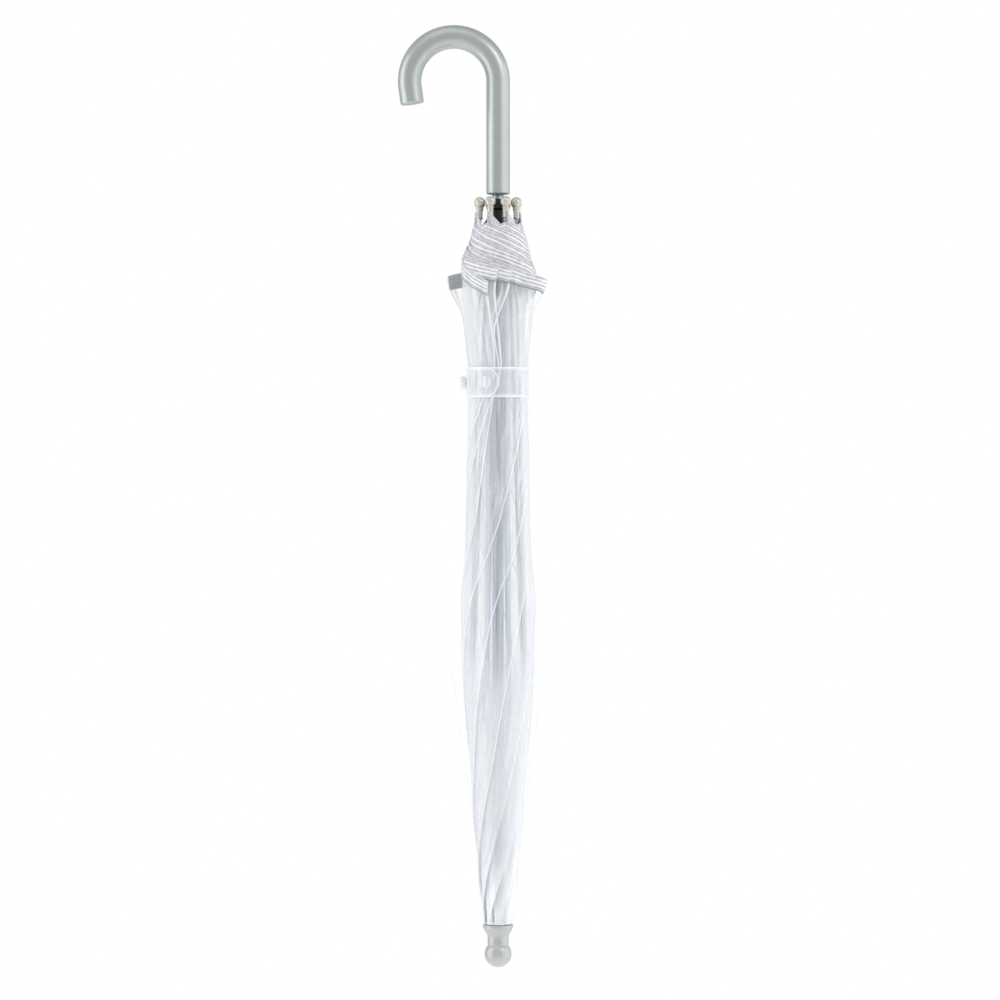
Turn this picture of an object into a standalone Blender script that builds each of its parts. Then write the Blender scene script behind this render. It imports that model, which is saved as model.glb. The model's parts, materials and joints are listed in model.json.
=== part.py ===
"""A clear dome umbrella with a crook handle, furled and hanging from its crook.

The shaft stands on +Z with the ferrule at the bottom, so the origin is the small flat on the ferrule's ball.
Each rib lies in its own radial plane: it is worked out in the plane y = 0, as (radius, height), and copied
round the shaft. Lengths are in metres.
"""

import math

import bmesh
import bpy
from mathutils import Matrix, Vector

# The set of ribs
RIB_COUNT = 8
RIB_PITCH = 2 * math.pi / RIB_COUNT
FIRST_RIB = RIB_PITCH / 2
GAP = 0.0003

# The shaft, a thin steel tube
SHAFT_RADIUS = 0.004
SHAFT_WALL = 0.0007
SHAFT_BOTTOM = 0.012
SHAFT_TOP = 0.600
BORE_RADIUS = SHAFT_RADIUS + GAP

# The crook handle
HANDLE_RADIUS = 0.0085
HANDLE_BOTTOM = 0.5587
CROOK_RADIUS = 0.032
CROOK_HEIGHT = 0.6407
CROOK_SWEEP = math.radians(188)
CROOK_END = 0.0132
SOCKET_TOP = 0.602

# The ferrule: a ball, a neck and a cup
BALL_RADIUS = 0.0097
BALL_HEIGHT = 0.0094
NECK_RADIUS = 0.0076
NECK_TOP = 0.0225
CUP_TOP = 0.0306

# The washer and the notch that hold the film and the ribs' inner ends
CAP_BOTTOM = 0.0309
CAP_TOP = 0.0334
NOTCH_BOTTOM = 0.034
NOTCH_TOP = 0.042
HUB_RADIUS = 0.009
NOTCH_SLOT = 0.0022
NOTCH_SLOT_FLOOR = 0.0052
WIRE_RADIUS = 0.00045
WIRE_ROOM = 0.00075

# The pivots of one rib and its stretcher, as (radius, height)
NOTCH_PIVOT = Vector((0.0069, 0, 0.038))
STRETCHER_PIVOT = Vector((0.0189, 0, 0.216))
KNEE = Vector((0.021, 0, 0.228))
TIP = Vector((0.0145, 0, 0.545))
RUNNER_PIVOT = Vector((0.0086, 0, 0.528))

# How far the ribs swing when the umbrella opens
RIB_SWING = math.radians(76)
KNEE_FLEX = math.radians(-40.83)

# The ribs, pressed steel channel
RIB_WIDTH = 0.0030
RIB_DEPTH = 0.0022
RIB_WALL = 0.00055
TONGUE = 0.0013
PIN_RADIUS = 0.0004
PIN_HOLE = 0.0007

# The stretchers
STRETCHER_WIDTH = 0.0026
STRETCHER_DEPTH = 0.0018
STRETCHER_NECK = 0.020

# The tips
TIP_BALL = 0.0039
TIP_BALL_LIFT = 0.0074
TIP_SLEEVE = 0.0022
TIP_SLEEVE_LENGTH = 0.004
TIP_PIN = 0.0011
TIP_PIN_END = 0.0045

# The runner
RUNNER_BOTTOM = 0.505
RUNNER_TOP = 0.555
RUNNER_RADIUS = 0.0062
CROWN_RADIUS = 0.0102
CROWN_BOTTOM = 0.520
CROWN_TOP = 0.532
CROWN_SLOT = 0.0020
CROWN_SLOT_FLOOR = 0.0070
FLANGE_RADIUS = 0.0085
FLANGE_BOTTOM = 0.548

# The sprung catches, on the shaft's back
CATCH_WIDTH = 0.0016
CATCH_ROOT = 0.0010
CATCH_REACH = 0.0060
CATCH_SLOT = 0.0024

# The film: its outside radius at each height, furled
FILM_THICKNESS = 0.0015
FILM_ANGLE = math.radians(40.5)
CROWN_FILM = [
    (0.0312, 0.0109), (0.070, 0.0150), (0.100, 0.0175), (0.142, 0.0205), (0.186, 0.0245), (0.2278, 0.0270),
]
SKIRT_FILM = [
    (0.2286, 0.0270), (0.250, 0.0273), (0.272, 0.0266), (0.316, 0.0233), (0.403, 0.0219), (0.411, 0.0213),
    (0.434, 0.0213), (0.446, 0.0230), (0.489, 0.0284), (0.515, 0.0245), (0.541, 0.0200),
]

# The closing strap
STRAP_BOTTOM = 0.4114
STRAP_TOP = 0.4330
STRAP_THICKNESS = 0.0007
BAND_RADIUS = 0.0224
BAND_START = math.radians(-130)
BAND_SWEEP = math.radians(308)
TAB_RADIUS = 0.0234
TAB_START = math.radians(183)
TAB_SWEEP = math.radians(89)
SNAP_AZIMUTH = math.radians(-111)
SNAP_RADIUS = 0.0042
SNAP_HEIGHT = 0.0014

COLOURS = {
    "silver": ((0.52, 0.54, 0.53), 0.32, 0.6),
    "grey_plastic": ((0.56, 0.56, 0.55), 0.55, 0.0),
    "pearl": ((0.62, 0.58, 0.52), 0.30, 0.3),
    "steel": ((0.42, 0.43, 0.44), 0.30, 1.0),
    "black": ((0.02, 0.02, 0.02), 0.45, 0.0),
    "film": ((0.80, 0.82, 0.85), 0.12, 0.0),
}


def clear_scene():
    """Removes every object that the file opened with."""
    for found in list(bpy.data.objects):
        bpy.data.objects.remove(found, do_unlink=True)


def collection(name):
    """Returns a new collection in the scene."""
    made = bpy.data.collections.new(name)
    bpy.context.scene.collection.children.link(made)
    return made


def material(name):
    """Returns the Principled material of that name from COLOURS."""
    made = bpy.data.materials.new(name)
    made.use_nodes = True
    colour, roughness, metallic = COLOURS[name]
    shader = made.node_tree.nodes["Principled BSDF"]
    shader.inputs["Base Color"].default_value = (*colour, 1)
    shader.inputs["Roughness"].default_value = roughness
    shader.inputs["Metallic"].default_value = metallic
    made.diffuse_color = (*colour, 1)
    return made


def add(name, mesh, where, finish=None):
    """Puts a mesh in a collection as an object, with its material."""
    made = bpy.data.objects.new(name, mesh)
    where.objects.link(made)
    if finish and not mesh.materials:
        mesh.materials.append(finish)
    return made


def polyline(name, points):
    """Returns a mesh of points (x, z) joined by edges, in the plane y = 0."""
    mesh = bpy.data.meshes.new(name)
    corners = [(x, 0, z) for x, z in points]
    mesh.from_pydata(corners, [(k, k + 1) for k in range(len(corners) - 1)], [])
    return mesh


def turn(made, angle=2 * math.pi, steps=24):
    """Turns an object's profile round its own Z with a Screw modifier."""
    screw = made.modifiers.new("turn", "SCREW")
    screw.angle = angle
    screw.steps = steps
    screw.render_steps = steps
    screw.use_merge_vertices = True
    screw.merge_threshold = 0.00001
    return made


def turned(name, profile, where, finish=None, steps=24):
    """Makes a turned piece from a profile that runs down its outer side."""
    return turn(add(name, polyline(name, profile), where, finish), steps=steps)


def arc(centre, radius, start, end, count):
    """Returns count points on an arc in the plane of a profile, both ends included."""
    angles = [start + (end - start) * k / (count - 1) for k in range(count)]
    return [(centre[0] + radius * math.cos(a), centre[1] + radius * math.sin(a)) for a in angles]


def cube_mesh(name, size, place):
    """Returns a box of that size, whose centre and turn the matrix place gives."""
    shape = bmesh.new()
    bmesh.ops.create_cube(shape, size=1, matrix=place @ Matrix.Diagonal((*size, 1)))
    mesh = bpy.data.meshes.new(name)
    shape.to_mesh(mesh)
    shape.free()
    return mesh


def cylinder_mesh(name, radius, length, place, sides=8):
    """Returns a cylinder along the Z of the matrix place."""
    shape = bmesh.new()
    bmesh.ops.create_cone(
        shape, cap_ends=True, segments=sides, radius1=radius, radius2=radius, depth=length, matrix=place
    )
    mesh = bpy.data.meshes.new(name)
    shape.to_mesh(mesh)
    shape.free()
    return mesh


def lean(start, end):
    """Returns the angle from +Z towards +X of the line between two points of a rib's plane."""
    way = end - start
    return math.atan2(way.x, way.z)


def bar(start, end, first, last, width, inner, outer):
    """Returns a straight bar along a line of a rib's plane.

    It runs from first to last along the line that leaves start towards end, and from inner to outer across
    it, where outer is away from the shaft.
    """
    turn_to_line = Matrix.Rotation(lean(start, end), 4, "Y")
    middle = Matrix.Translation(((inner + outer) / 2, 0, (first + last) / 2))
    place = Matrix.Translation(start) @ turn_to_line @ middle
    return cube_mesh("bar", (outer - inner, width, last - first), place)


def cross_pin(centre, radius, length):
    """Returns a pin that lies across a rib's plane."""
    place = Matrix.Translation(centre) @ Matrix.Rotation(math.pi / 2, 4, "X")
    return cylinder_mesh("pin", radius, length, place)


def combine(base, steps):
    """Returns one mesh: base, with each (operation, mesh) of steps joined to it or cut from it."""
    scene = bpy.context.scene.collection
    body = add("prototype", base, scene)
    tools = []
    for number, (operation, mesh) in enumerate(steps):
        tool = add(f"tool_{number}", mesh, scene)
        tools.append(tool)
        cut = body.modifiers.new(f"step_{number}", "BOOLEAN")
        cut.operation = operation
        cut.solver = "EXACT"
        cut.object = tool
    mesh = evaluated_mesh(body)
    for used in [body, *tools]:
        bpy.data.objects.remove(used)
    return mesh


def evaluated_mesh(made):
    """Returns the mesh that an object's modifiers give."""
    bpy.context.view_layer.update()
    graph = bpy.context.evaluated_depsgraph_get()
    mesh = bpy.data.meshes.new_from_object(made.evaluated_get(graph))
    shape = bmesh.new()
    shape.from_mesh(mesh)
    bmesh.ops.remove_doubles(shape, verts=shape.verts, dist=0.000001)
    shape.to_mesh(mesh)
    shape.free()
    return mesh


def smooth(mesh):
    """Shades a mesh smooth except at its sharp edges."""
    mesh.shade_smooth()
    mesh.set_sharp_from_angle(angle=math.radians(35))


def place_round(label, mesh, pivot, where, finish):
    """Puts one copy of a rib-plane mesh at every rib, each with its origin on its pivot."""
    mesh.transform(Matrix.Translation(-pivot))
    smooth(mesh)
    for number in range(RIB_COUNT):
        azimuth = FIRST_RIB + number * RIB_PITCH
        made = add(f"{label}_{number + 1}", mesh, where, finish)
        made.location = Matrix.Rotation(azimuth, 3, "Z") @ pivot
        made.rotation_euler = (0, 0, azimuth)


def cutter(name, mesh, target, where):
    """Cuts a mesh from an object and keeps the cutter, hidden, among the cutters."""
    tool = add(name, mesh, where)
    tool.hide_render = True
    tool.display_type = "WIRE"
    cut = target.modifiers.new(name, "BOOLEAN")
    cut.operation = "DIFFERENCE"
    cut.solver = "EXACT"
    cut.object = tool
    return tool


def radial_slots(width, floor, reach, bottom, top):
    """Returns one mesh of slots, one at every rib, from the radius floor out to reach."""
    shape = bmesh.new()
    for number in range(RIB_COUNT):
        azimuth = FIRST_RIB + number * RIB_PITCH
        place = Matrix.Rotation(azimuth, 4, "Z") @ Matrix.Translation(((floor + reach) / 2, 0, (bottom + top) / 2))
        size = Matrix.Diagonal((reach - floor, width, top - bottom, 1))
        bmesh.ops.create_cube(shape, size=1, matrix=place @ size)
    mesh = bpy.data.meshes.new("slots")
    shape.to_mesh(mesh)
    shape.free()
    return mesh


def line_turn(centre, axis, angle):
    """Returns the turn by an angle about an axis through a point."""
    return Matrix.Translation(centre) @ Matrix.Rotation(angle, 4, axis) @ Matrix.Translation(-centre)


def open_rib(azimuth):
    """Returns how the inner and the outer part of the rib at an azimuth move when the umbrella opens."""
    place = Matrix.Rotation(azimuth, 4, "Z")
    across = place @ Vector((0, 1, 0))
    inner = line_turn(place @ NOTCH_PIVOT, across, RIB_SWING)
    return inner, inner @ line_turn(place @ KNEE, across, KNEE_FLEX)


def fan_hinge(outer):
    """Returns a point on, the direction of, and the turn about the hinge that spreads a gore's film.

    The film is held by one rib and its far edge has to reach the next. The hinge turns the next rib's line,
    as it lies furled, onto the same line as it lies open, both seen from the first rib. A pure turn does this
    when its axis is square to the shift of the line's start and to the change of the line's direction.
    """
    own, following = open_rib(0)[outer], open_rib(RIB_PITCH)[outer]
    place = Matrix.Rotation(RIB_PITCH, 4, "Z")
    start, end = [(NOTCH_PIVOT, KNEE), (KNEE, TIP)][outer]
    start, end = place @ start, place @ end
    seen = own.inverted() @ following
    way = (end - start).normalized()
    new_start, new_way = seen @ start, (seen.to_3x3() @ way).normalized()
    axis = (new_start - start).cross(new_way - way).normalized()
    flat, new_flat = (way - axis * axis.dot(way)).normalized(), (new_way - axis * axis.dot(new_way)).normalized()
    angle = math.atan2(axis.dot(flat.cross(new_flat)), flat.dot(new_flat))
    shift = new_start - start
    middle = (new_start + start) / 2
    centre = middle + axis.cross(shift) / (2 * math.tan(angle / 2))
    return centre, axis, angle


def build_handle(parts, cutters, finish):
    """The crook: a round rod bent through a half circle, with a socket for the shaft."""
    arc_points = arc((-CROOK_RADIUS, CROOK_HEIGHT), CROOK_RADIUS, 0, CROOK_SWEEP, 21)
    last = Vector((arc_points[-1][0], 0, arc_points[-1][1]))
    tail = last + CROOK_END * Vector((-math.sin(CROOK_SWEEP), 0, math.cos(CROOK_SWEEP)))
    route = [(0, HANDLE_BOTTOM), *arc_points, (tail.x, tail.z)]
    curve = bpy.data.curves.new("handle_line", "CURVE")
    curve.dimensions = "3D"
    line = curve.splines.new("POLY")
    line.points.add(len(route) - 1)
    for point, (x, z) in zip(line.points, route):
        point.co = (x, 0, z, 1)
    curve.bevel_depth = HANDLE_RADIUS
    curve.bevel_resolution = 6
    curve.use_fill_caps = True
    rod = add("handle_line", curve, parts)
    mesh = evaluated_mesh(rod)
    bpy.data.objects.remove(rod)
    handle = add("handle", mesh, parts, finish)
    depth = SOCKET_TOP - HANDLE_BOTTOM
    place = Matrix.Translation((0, 0, HANDLE_BOTTOM + depth / 2 - 0.001))
    cutter("handle_socket", cylinder_mesh("socket", BORE_RADIUS, depth + 0.002, place, 20), handle, cutters)


def build_shaft(parts, cutters, finish):
    """The tube, with a slot in its back for each catch."""
    inner = SHAFT_RADIUS - SHAFT_WALL
    profile = [
        (inner, SHAFT_BOTTOM), (inner, SHAFT_TOP), (SHAFT_RADIUS, SHAFT_TOP),
        (SHAFT_RADIUS, SHAFT_BOTTOM), (inner, SHAFT_BOTTOM),
    ]
    shaft = turned("shaft", profile, parts, finish)
    for name, bottom, top in [("bottom_slot", 0.4925, 0.5055), ("top_slot", 0.3555, 0.3695)]:
        place = Matrix.Translation((0, SHAFT_RADIUS, (bottom + top) / 2))
        cutter(name, cube_mesh(name, (CATCH_SLOT, 0.003, top - bottom), place), shaft, cutters)


def build_catches(parts, finish):
    """The two sprung catches: one holds the runner closed, the other holds it open."""
    outlines = {
        "bottom_catch": [(CATCH_ROOT, 0.4935), (0.0041, 0.4935), (CATCH_REACH, 0.501), (CATCH_REACH, 0.5042),
                         (CATCH_ROOT, 0.5042)],
        "top_catch": [(CATCH_ROOT, 0.3566), (CATCH_REACH, 0.3566), (CATCH_REACH, 0.3598), (0.0041, 0.3685),
                      (CATCH_ROOT, 0.3685)],
    }
    for name, outline in outlines.items():
        curve = bpy.data.curves.new(name, "CURVE")
        curve.dimensions = "2D"
        curve.fill_mode = "BOTH"
        curve.extrude = CATCH_WIDTH / 2
        line = curve.splines.new("POLY")
        line.points.add(len(outline) - 1)
        line.use_cyclic_u = True
        for point, (reach, height) in zip(line.points, outline):
            point.co = (reach, height, 0, 1)
        made = add(name, curve, parts, finish)
        made.matrix_world = Matrix(((0, 0, 1, 0), (1, 0, 0, 0), (0, 1, 0, 0), (0, 0, 0, 1)))


def build_ferrule(parts, finish):
    """The ball, neck and cup, with a blind bore for the shaft's end."""
    flat_angle = -math.acos((BALL_RADIUS ** 2 - BALL_HEIGHT ** 2) ** 0.5 / BALL_RADIUS)
    neck_angle = math.acos(NECK_RADIUS / BALL_RADIUS)
    bore_floor = SHAFT_BOTTOM - GAP
    profile = [(0, bore_floor), (BORE_RADIUS, bore_floor), (BORE_RADIUS, CUP_TOP), (0.0110, CUP_TOP)]
    profile += [(0.0108, 0.0287), (0.0098, 0.0265), (0.0083, 0.0243), (NECK_RADIUS, NECK_TOP)]
    profile += arc((0, BALL_HEIGHT), BALL_RADIUS, neck_angle, flat_angle, 10)
    turned("ferrule_ball", [*profile, (0, 0)], parts, finish, steps=20)


def build_hub(parts, cutters, plastic, steel):
    """The washer under the film, the notch that the ribs hang in, and the wire through them."""
    washer = [(BORE_RADIUS, CAP_BOTTOM), (BORE_RADIUS, CAP_TOP), (HUB_RADIUS - 0.0006, CAP_TOP),
              (HUB_RADIUS, CAP_TOP - 0.0006), (HUB_RADIUS, CAP_BOTTOM), (BORE_RADIUS, CAP_BOTTOM)]
    turned("canopy_cap", washer, parts, plastic)
    block = [(BORE_RADIUS, NOTCH_BOTTOM), (BORE_RADIUS, NOTCH_TOP), (HUB_RADIUS, NOTCH_TOP),
             (HUB_RADIUS, NOTCH_BOTTOM), (BORE_RADIUS, NOTCH_BOTTOM)]
    notch = turned("top_notch", block, parts, plastic, steps=32)
    low, high = NOTCH_PIVOT.x - WIRE_ROOM, NOTCH_PIVOT.x + WIRE_ROOM
    floor, lid = NOTCH_PIVOT.z - WIRE_ROOM, NOTCH_TOP + 0.001
    ring = polyline("wire_groove", [(low, floor), (low, lid), (high, lid), (high, floor), (low, floor)])
    turn(cutter("wire_groove", ring, notch, cutters), steps=32)
    slots = radial_slots(NOTCH_SLOT, NOTCH_SLOT_FLOOR, HUB_RADIUS + 0.002, NOTCH_BOTTOM - 0.001, NOTCH_TOP + 0.001)
    cutter("notch_slots", slots, notch, cutters)
    section = arc((NOTCH_PIVOT.x, NOTCH_PIVOT.z), WIRE_RADIUS, math.pi, -math.pi, 7)
    turned("notch_wire", section, parts, steel, steps=32)


def build_runner(parts, cutters, finish):
    """The runner: a sleeve with a slotted crown for the stretchers and a flange to push on."""
    profile = [
        (BORE_RADIUS, RUNNER_BOTTOM), (BORE_RADIUS, RUNNER_TOP), (FLANGE_RADIUS - 0.0008, RUNNER_TOP),
        (FLANGE_RADIUS, RUNNER_TOP - 0.0008), (FLANGE_RADIUS, FLANGE_BOTTOM), (RUNNER_RADIUS, FLANGE_BOTTOM - 0.001),
        (RUNNER_RADIUS, CROWN_TOP), (CROWN_RADIUS, CROWN_TOP), (CROWN_RADIUS, CROWN_BOTTOM),
        (RUNNER_RADIUS, CROWN_BOTTOM - 0.001), (RUNNER_RADIUS, RUNNER_BOTTOM), (BORE_RADIUS, RUNNER_BOTTOM),
    ]
    runner = turned("runner", profile, parts, finish)
    slots = radial_slots(CROWN_SLOT, CROWN_SLOT_FLOOR, CROWN_RADIUS + 0.002, CROWN_BOTTOM - 0.002, CROWN_TOP + 0.001)
    cutter("runner_slots", slots, runner, cutters)


def build_ribs(parts, finish):
    """The ribs, each in two lengths that meet at a knee."""
    half = RIB_DEPTH / 2
    web = half - RIB_WALL
    groove = RIB_WIDTH - 2 * RIB_WALL
    length = (KNEE - NOTCH_PIVOT).length
    ear = (STRETCHER_PIVOT - NOTCH_PIVOT).length
    line = (NOTCH_PIVOT, KNEE)
    inner = combine(bar(*line, 0.005, length + 0.0013, RIB_WIDTH, -half, half), [
        ("UNION", bar(*line, ear - 0.0022, ear + 0.0022, RIB_WIDTH - 0.00004, -0.0022, 0)),
        ("DIFFERENCE", bar(*line, 0.004, length + 0.003, groove, -0.004, web)),
        ("DIFFERENCE", bar(*line, length - 0.0022, length + 0.003, groove, -0.004, 0.004)),
        ("UNION", bar(*line, 0, 0.009, TONGUE, -0.0009, 0.0009)),
        ("UNION", cross_pin(NOTCH_PIVOT, 0.0014, TONGUE - 0.00002)),
        ("UNION", cross_pin(STRETCHER_PIVOT, PIN_RADIUS, groove + 0.0006)),
        ("UNION", cross_pin(KNEE, PIN_RADIUS, groove + 0.0006)),
        ("DIFFERENCE", cross_pin(NOTCH_PIVOT, WIRE_ROOM, 0.004)),
    ])
    place_round("rib_inner", inner, NOTCH_PIVOT, parts, finish)
    length = (TIP - KNEE).length
    line = (KNEE, TIP)
    pin_place = Matrix.Translation(KNEE) @ Matrix.Rotation(lean(*line), 4, "Y")
    pin_place = pin_place @ Matrix.Translation((0, 0, length - 0.004))
    outer = combine(bar(*line, 0.0022, length - 0.0047, RIB_WIDTH, -half, half), [
        ("DIFFERENCE", bar(*line, 0.012, length - 0.012, groove, -0.004, web)),
        ("UNION", bar(*line, 0, 0.011, TONGUE, -0.0009, 0.0009)),
        ("UNION", cross_pin(KNEE, 0.0011, TONGUE - 0.00002)),
        ("DIFFERENCE", cross_pin(KNEE, PIN_HOLE, 0.004)),
        ("UNION", cylinder_mesh("pin", TIP_PIN, 2 * TIP_PIN_END + 0.008, pin_place)),
    ])
    place_round("rib_outer", outer, KNEE, parts, finish)


def build_stretchers(parts, finish):
    """The stretchers, which push the ribs out from the runner."""
    length = (RUNNER_PIVOT - STRETCHER_PIVOT).length
    line = (STRETCHER_PIVOT, RUNNER_PIVOT)
    half = STRETCHER_DEPTH / 2
    mesh = combine(bar(*line, STRETCHER_NECK, length - 0.010, STRETCHER_WIDTH, -half, half), [
        ("UNION", bar(*line, 0, length, TONGUE, -0.0008, 0.0008)),
        ("UNION", cross_pin(STRETCHER_PIVOT, 0.0012, TONGUE - 0.00002)),
        ("UNION", cross_pin(RUNNER_PIVOT, 0.0012, TONGUE - 0.00002)),
        ("DIFFERENCE", cross_pin(STRETCHER_PIVOT, PIN_HOLE, 0.004)),
    ])
    place_round("stretcher", mesh, STRETCHER_PIVOT, parts, finish)


def build_tips(parts, finish):
    """The ball tips on the ribs' ends, each with a sleeve and a blind socket."""
    waist = math.acos(TIP_SLEEVE / TIP_BALL)
    profile = arc((0, TIP_BALL_LIFT), TIP_BALL, math.pi / 2, -waist, 7)
    profile[0] = (0, TIP_BALL_LIFT + TIP_BALL)
    rim = -TIP_SLEEVE_LENGTH
    socket = TIP_PIN + GAP
    profile += [(TIP_SLEEVE, rim + 0.0012), (TIP_SLEEVE + 0.0004, rim), (socket, rim)]
    profile += [(socket, TIP_PIN_END + GAP), (0, TIP_PIN_END + GAP)]
    made = turned("prototype", profile, bpy.context.scene.collection, steps=12)
    mesh = evaluated_mesh(made)
    bpy.data.objects.remove(made)
    mesh.transform(Matrix.Translation(TIP) @ Matrix.Rotation(lean(KNEE, TIP), 4, "Y"))
    place_round("rib_tip", mesh, KNEE, parts, finish)


def film_plate(profile):
    """Returns the furled film between two ribs: a shallow shell that follows the profile."""
    made = add("prototype", polyline("prototype", [(r, z) for z, r in reversed(profile)]), bpy.context.scene.collection)
    turn(made, FILM_ANGLE, 4)
    shell = made.modifiers.new("shell", "SOLIDIFY")
    shell.thickness = FILM_THICKNESS
    shell.offset = -1
    mesh = evaluated_mesh(made)
    bpy.data.objects.remove(made)
    mesh.transform(Matrix.Rotation((RIB_PITCH - FILM_ANGLE) / 2, 4, "Z"))
    return mesh


def build_film(parts, finish):
    """The canopy: between each pair of ribs a crown, near the notch, and a skirt, out to the hem."""
    for label, profile, outer in [("gore_crown", CROWN_FILM, 0), ("gore_skirt", SKIRT_FILM, 1)]:
        place_round(label, film_plate(profile), fan_hinge(outer)[0], parts, finish)


def strap_piece(name, radius, start, sweep, steps, where, finish):
    """Returns a strip of the strap, bent round the shaft's axis."""
    made = add(name, polyline(name, [(radius, STRAP_TOP), (radius, STRAP_BOTTOM)]), where, finish)
    made.rotation_euler = (0, 0, start)
    turn(made, sweep, steps)
    shell = made.modifiers.new("shell", "SOLIDIFY")
    shell.thickness = STRAP_THICKNESS
    shell.offset = -1
    return made


def build_strap(parts, film, plastic):
    """The strap that keeps the umbrella furled: a band, its tab and the snap on the tab."""
    strap_piece("strap_band", BAND_RADIUS, BAND_START, BAND_SWEEP, 32, parts, film)
    tab = strap_piece("strap_tab", TAB_RADIUS, TAB_START, TAB_SWEEP, 9, parts, film)
    hinge = Matrix.Rotation(TAB_START, 3, "Z") @ Vector((TAB_RADIUS, 0, 0))
    mesh = evaluated_mesh(tab)
    bpy.data.objects.remove(tab)
    mesh.transform(Matrix.Translation(-hinge) @ Matrix.Rotation(TAB_START, 4, "Z"))
    add("strap_tab", mesh, parts, film).location = hinge
    middle = (STRAP_BOTTOM + STRAP_TOP) / 2
    place = Matrix.Rotation(SNAP_AZIMUTH, 4, "Z") @ Matrix.Translation((TAB_RADIUS + GAP + SNAP_HEIGHT / 2, 0, middle))
    place = place @ Matrix.Rotation(math.pi / 2, 4, "Y")
    snap = cylinder_mesh("strap_snap", SNAP_RADIUS, SNAP_HEIGHT, place, 20)
    add("strap_snap", snap, parts, plastic)


def main():
    """Builds the umbrella."""
    clear_scene()
    parts = collection("stick_umbrella")
    cutters = collection("cutters")
    finish = {name: material(name) for name in COLOURS}
    build_handle(parts, cutters, finish["silver"])
    build_shaft(parts, cutters, finish["steel"])
    build_catches(parts, finish["steel"])
    build_ferrule(parts, finish["grey_plastic"])
    build_hub(parts, cutters, finish["grey_plastic"], finish["steel"])
    build_runner(parts, cutters, finish["black"])
    build_ribs(parts, finish["steel"])
    build_stretchers(parts, finish["steel"])
    build_tips(parts, finish["pearl"])
    build_film(parts, finish["film"])
    build_strap(parts, finish["film"], finish["pearl"])


main()
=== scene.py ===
"""The looks of a clear dome umbrella, furled and hanging from its crook handle.

Each sub-assembly is a class that holds its own sizes and works its surfaces out with numpy: a surface is a
function of two parameters on a grid, or a profile carried round an axis or along a path. Lengths are in
metres. The furled film and the opened film are two drawings of the same eight gores: the furled leaves show
while the umbrella is closed, and the panels between the ribs are drawn as narrow strips, their open shape
turned back between the furled ribs.
"""
import json
import logging
import math
from dataclasses import dataclass
from enum import Enum
from typing import Any

import bmesh
import bpy
import numpy as np
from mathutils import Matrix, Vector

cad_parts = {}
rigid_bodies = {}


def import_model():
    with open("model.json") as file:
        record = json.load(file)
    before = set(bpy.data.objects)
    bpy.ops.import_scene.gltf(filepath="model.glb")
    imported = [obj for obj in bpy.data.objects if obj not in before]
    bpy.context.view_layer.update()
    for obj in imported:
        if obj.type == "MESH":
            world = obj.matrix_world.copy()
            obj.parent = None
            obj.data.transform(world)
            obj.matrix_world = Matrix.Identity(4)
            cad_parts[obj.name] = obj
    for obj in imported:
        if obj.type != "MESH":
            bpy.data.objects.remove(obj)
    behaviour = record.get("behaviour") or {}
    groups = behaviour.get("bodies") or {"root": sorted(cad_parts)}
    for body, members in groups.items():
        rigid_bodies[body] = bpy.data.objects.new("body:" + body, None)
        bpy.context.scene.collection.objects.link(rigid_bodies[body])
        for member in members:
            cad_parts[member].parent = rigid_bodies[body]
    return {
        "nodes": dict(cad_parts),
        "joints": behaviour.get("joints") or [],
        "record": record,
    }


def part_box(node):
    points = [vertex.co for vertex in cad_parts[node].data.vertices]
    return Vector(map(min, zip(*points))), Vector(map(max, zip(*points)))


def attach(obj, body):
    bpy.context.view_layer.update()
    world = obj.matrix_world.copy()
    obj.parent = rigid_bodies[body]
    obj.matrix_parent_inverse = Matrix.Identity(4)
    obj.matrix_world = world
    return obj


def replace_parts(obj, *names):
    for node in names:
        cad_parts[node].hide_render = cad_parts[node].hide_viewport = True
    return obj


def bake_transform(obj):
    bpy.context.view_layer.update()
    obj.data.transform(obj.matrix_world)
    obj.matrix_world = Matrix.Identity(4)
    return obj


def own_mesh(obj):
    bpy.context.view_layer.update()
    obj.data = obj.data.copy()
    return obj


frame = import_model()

Array = np.ndarray
MM = 0.001
log = logging.getLogger("umbrella")
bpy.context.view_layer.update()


# ---------------------------------------------------------------- numbers and meshes


def linear(hex_colour: str) -> tuple[float, float, float, float]:
    """Turns an sRGB colour into a linear one.

    Args:
        hex_colour: the colour as "#RRGGBB".

    Returns:
        Red, green, blue and an alpha of 1, linear.
    """
    parts = np.array([int(hex_colour[k:k + 2], 16) for k in (1, 3, 5)]) / 255
    out = np.where(parts <= 0.04045, parts / 12.92, ((parts + 0.055) / 1.055) ** 2.4)
    return (*map(float, out), 1.0)


def smoothstep(value: Array, low: float, high: float) -> Array:
    """Rises from 0 at low to 1 at high as 3t squared less 2t cubed."""
    share = np.clip((value - low) / (high - low), 0, 1)
    return share * share * (3 - 2 * share)


def soft_curve(points: Array, at: Array) -> Array:
    """Reads a smooth curve through a few points.

    Between two points it is the cubic whose slopes there are those of the parabola through their neighbours.

    Args:
        points: rows of (place, value), with places that rise.
        at: the places to read.

    Returns:
        The curve's value at each place; past the ends it stays at the end's value.
    """
    place, value = np.asarray(points, float).T
    slope = np.gradient(value, place)
    at = np.clip(at, place[0], place[-1])
    k = np.clip(np.searchsorted(place, at, side="right") - 1, 0, len(place) - 2)
    span = place[k + 1] - place[k]
    t = (at - place[k]) / span
    rise = (2 * t**3 - 3 * t**2 + 1) * value[k] + (3 * t**2 - 2 * t**3) * value[k + 1]
    return rise + span * ((t**3 - 2 * t**2 + t) * slope[k] + (t**3 - t**2) * slope[k + 1])


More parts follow.
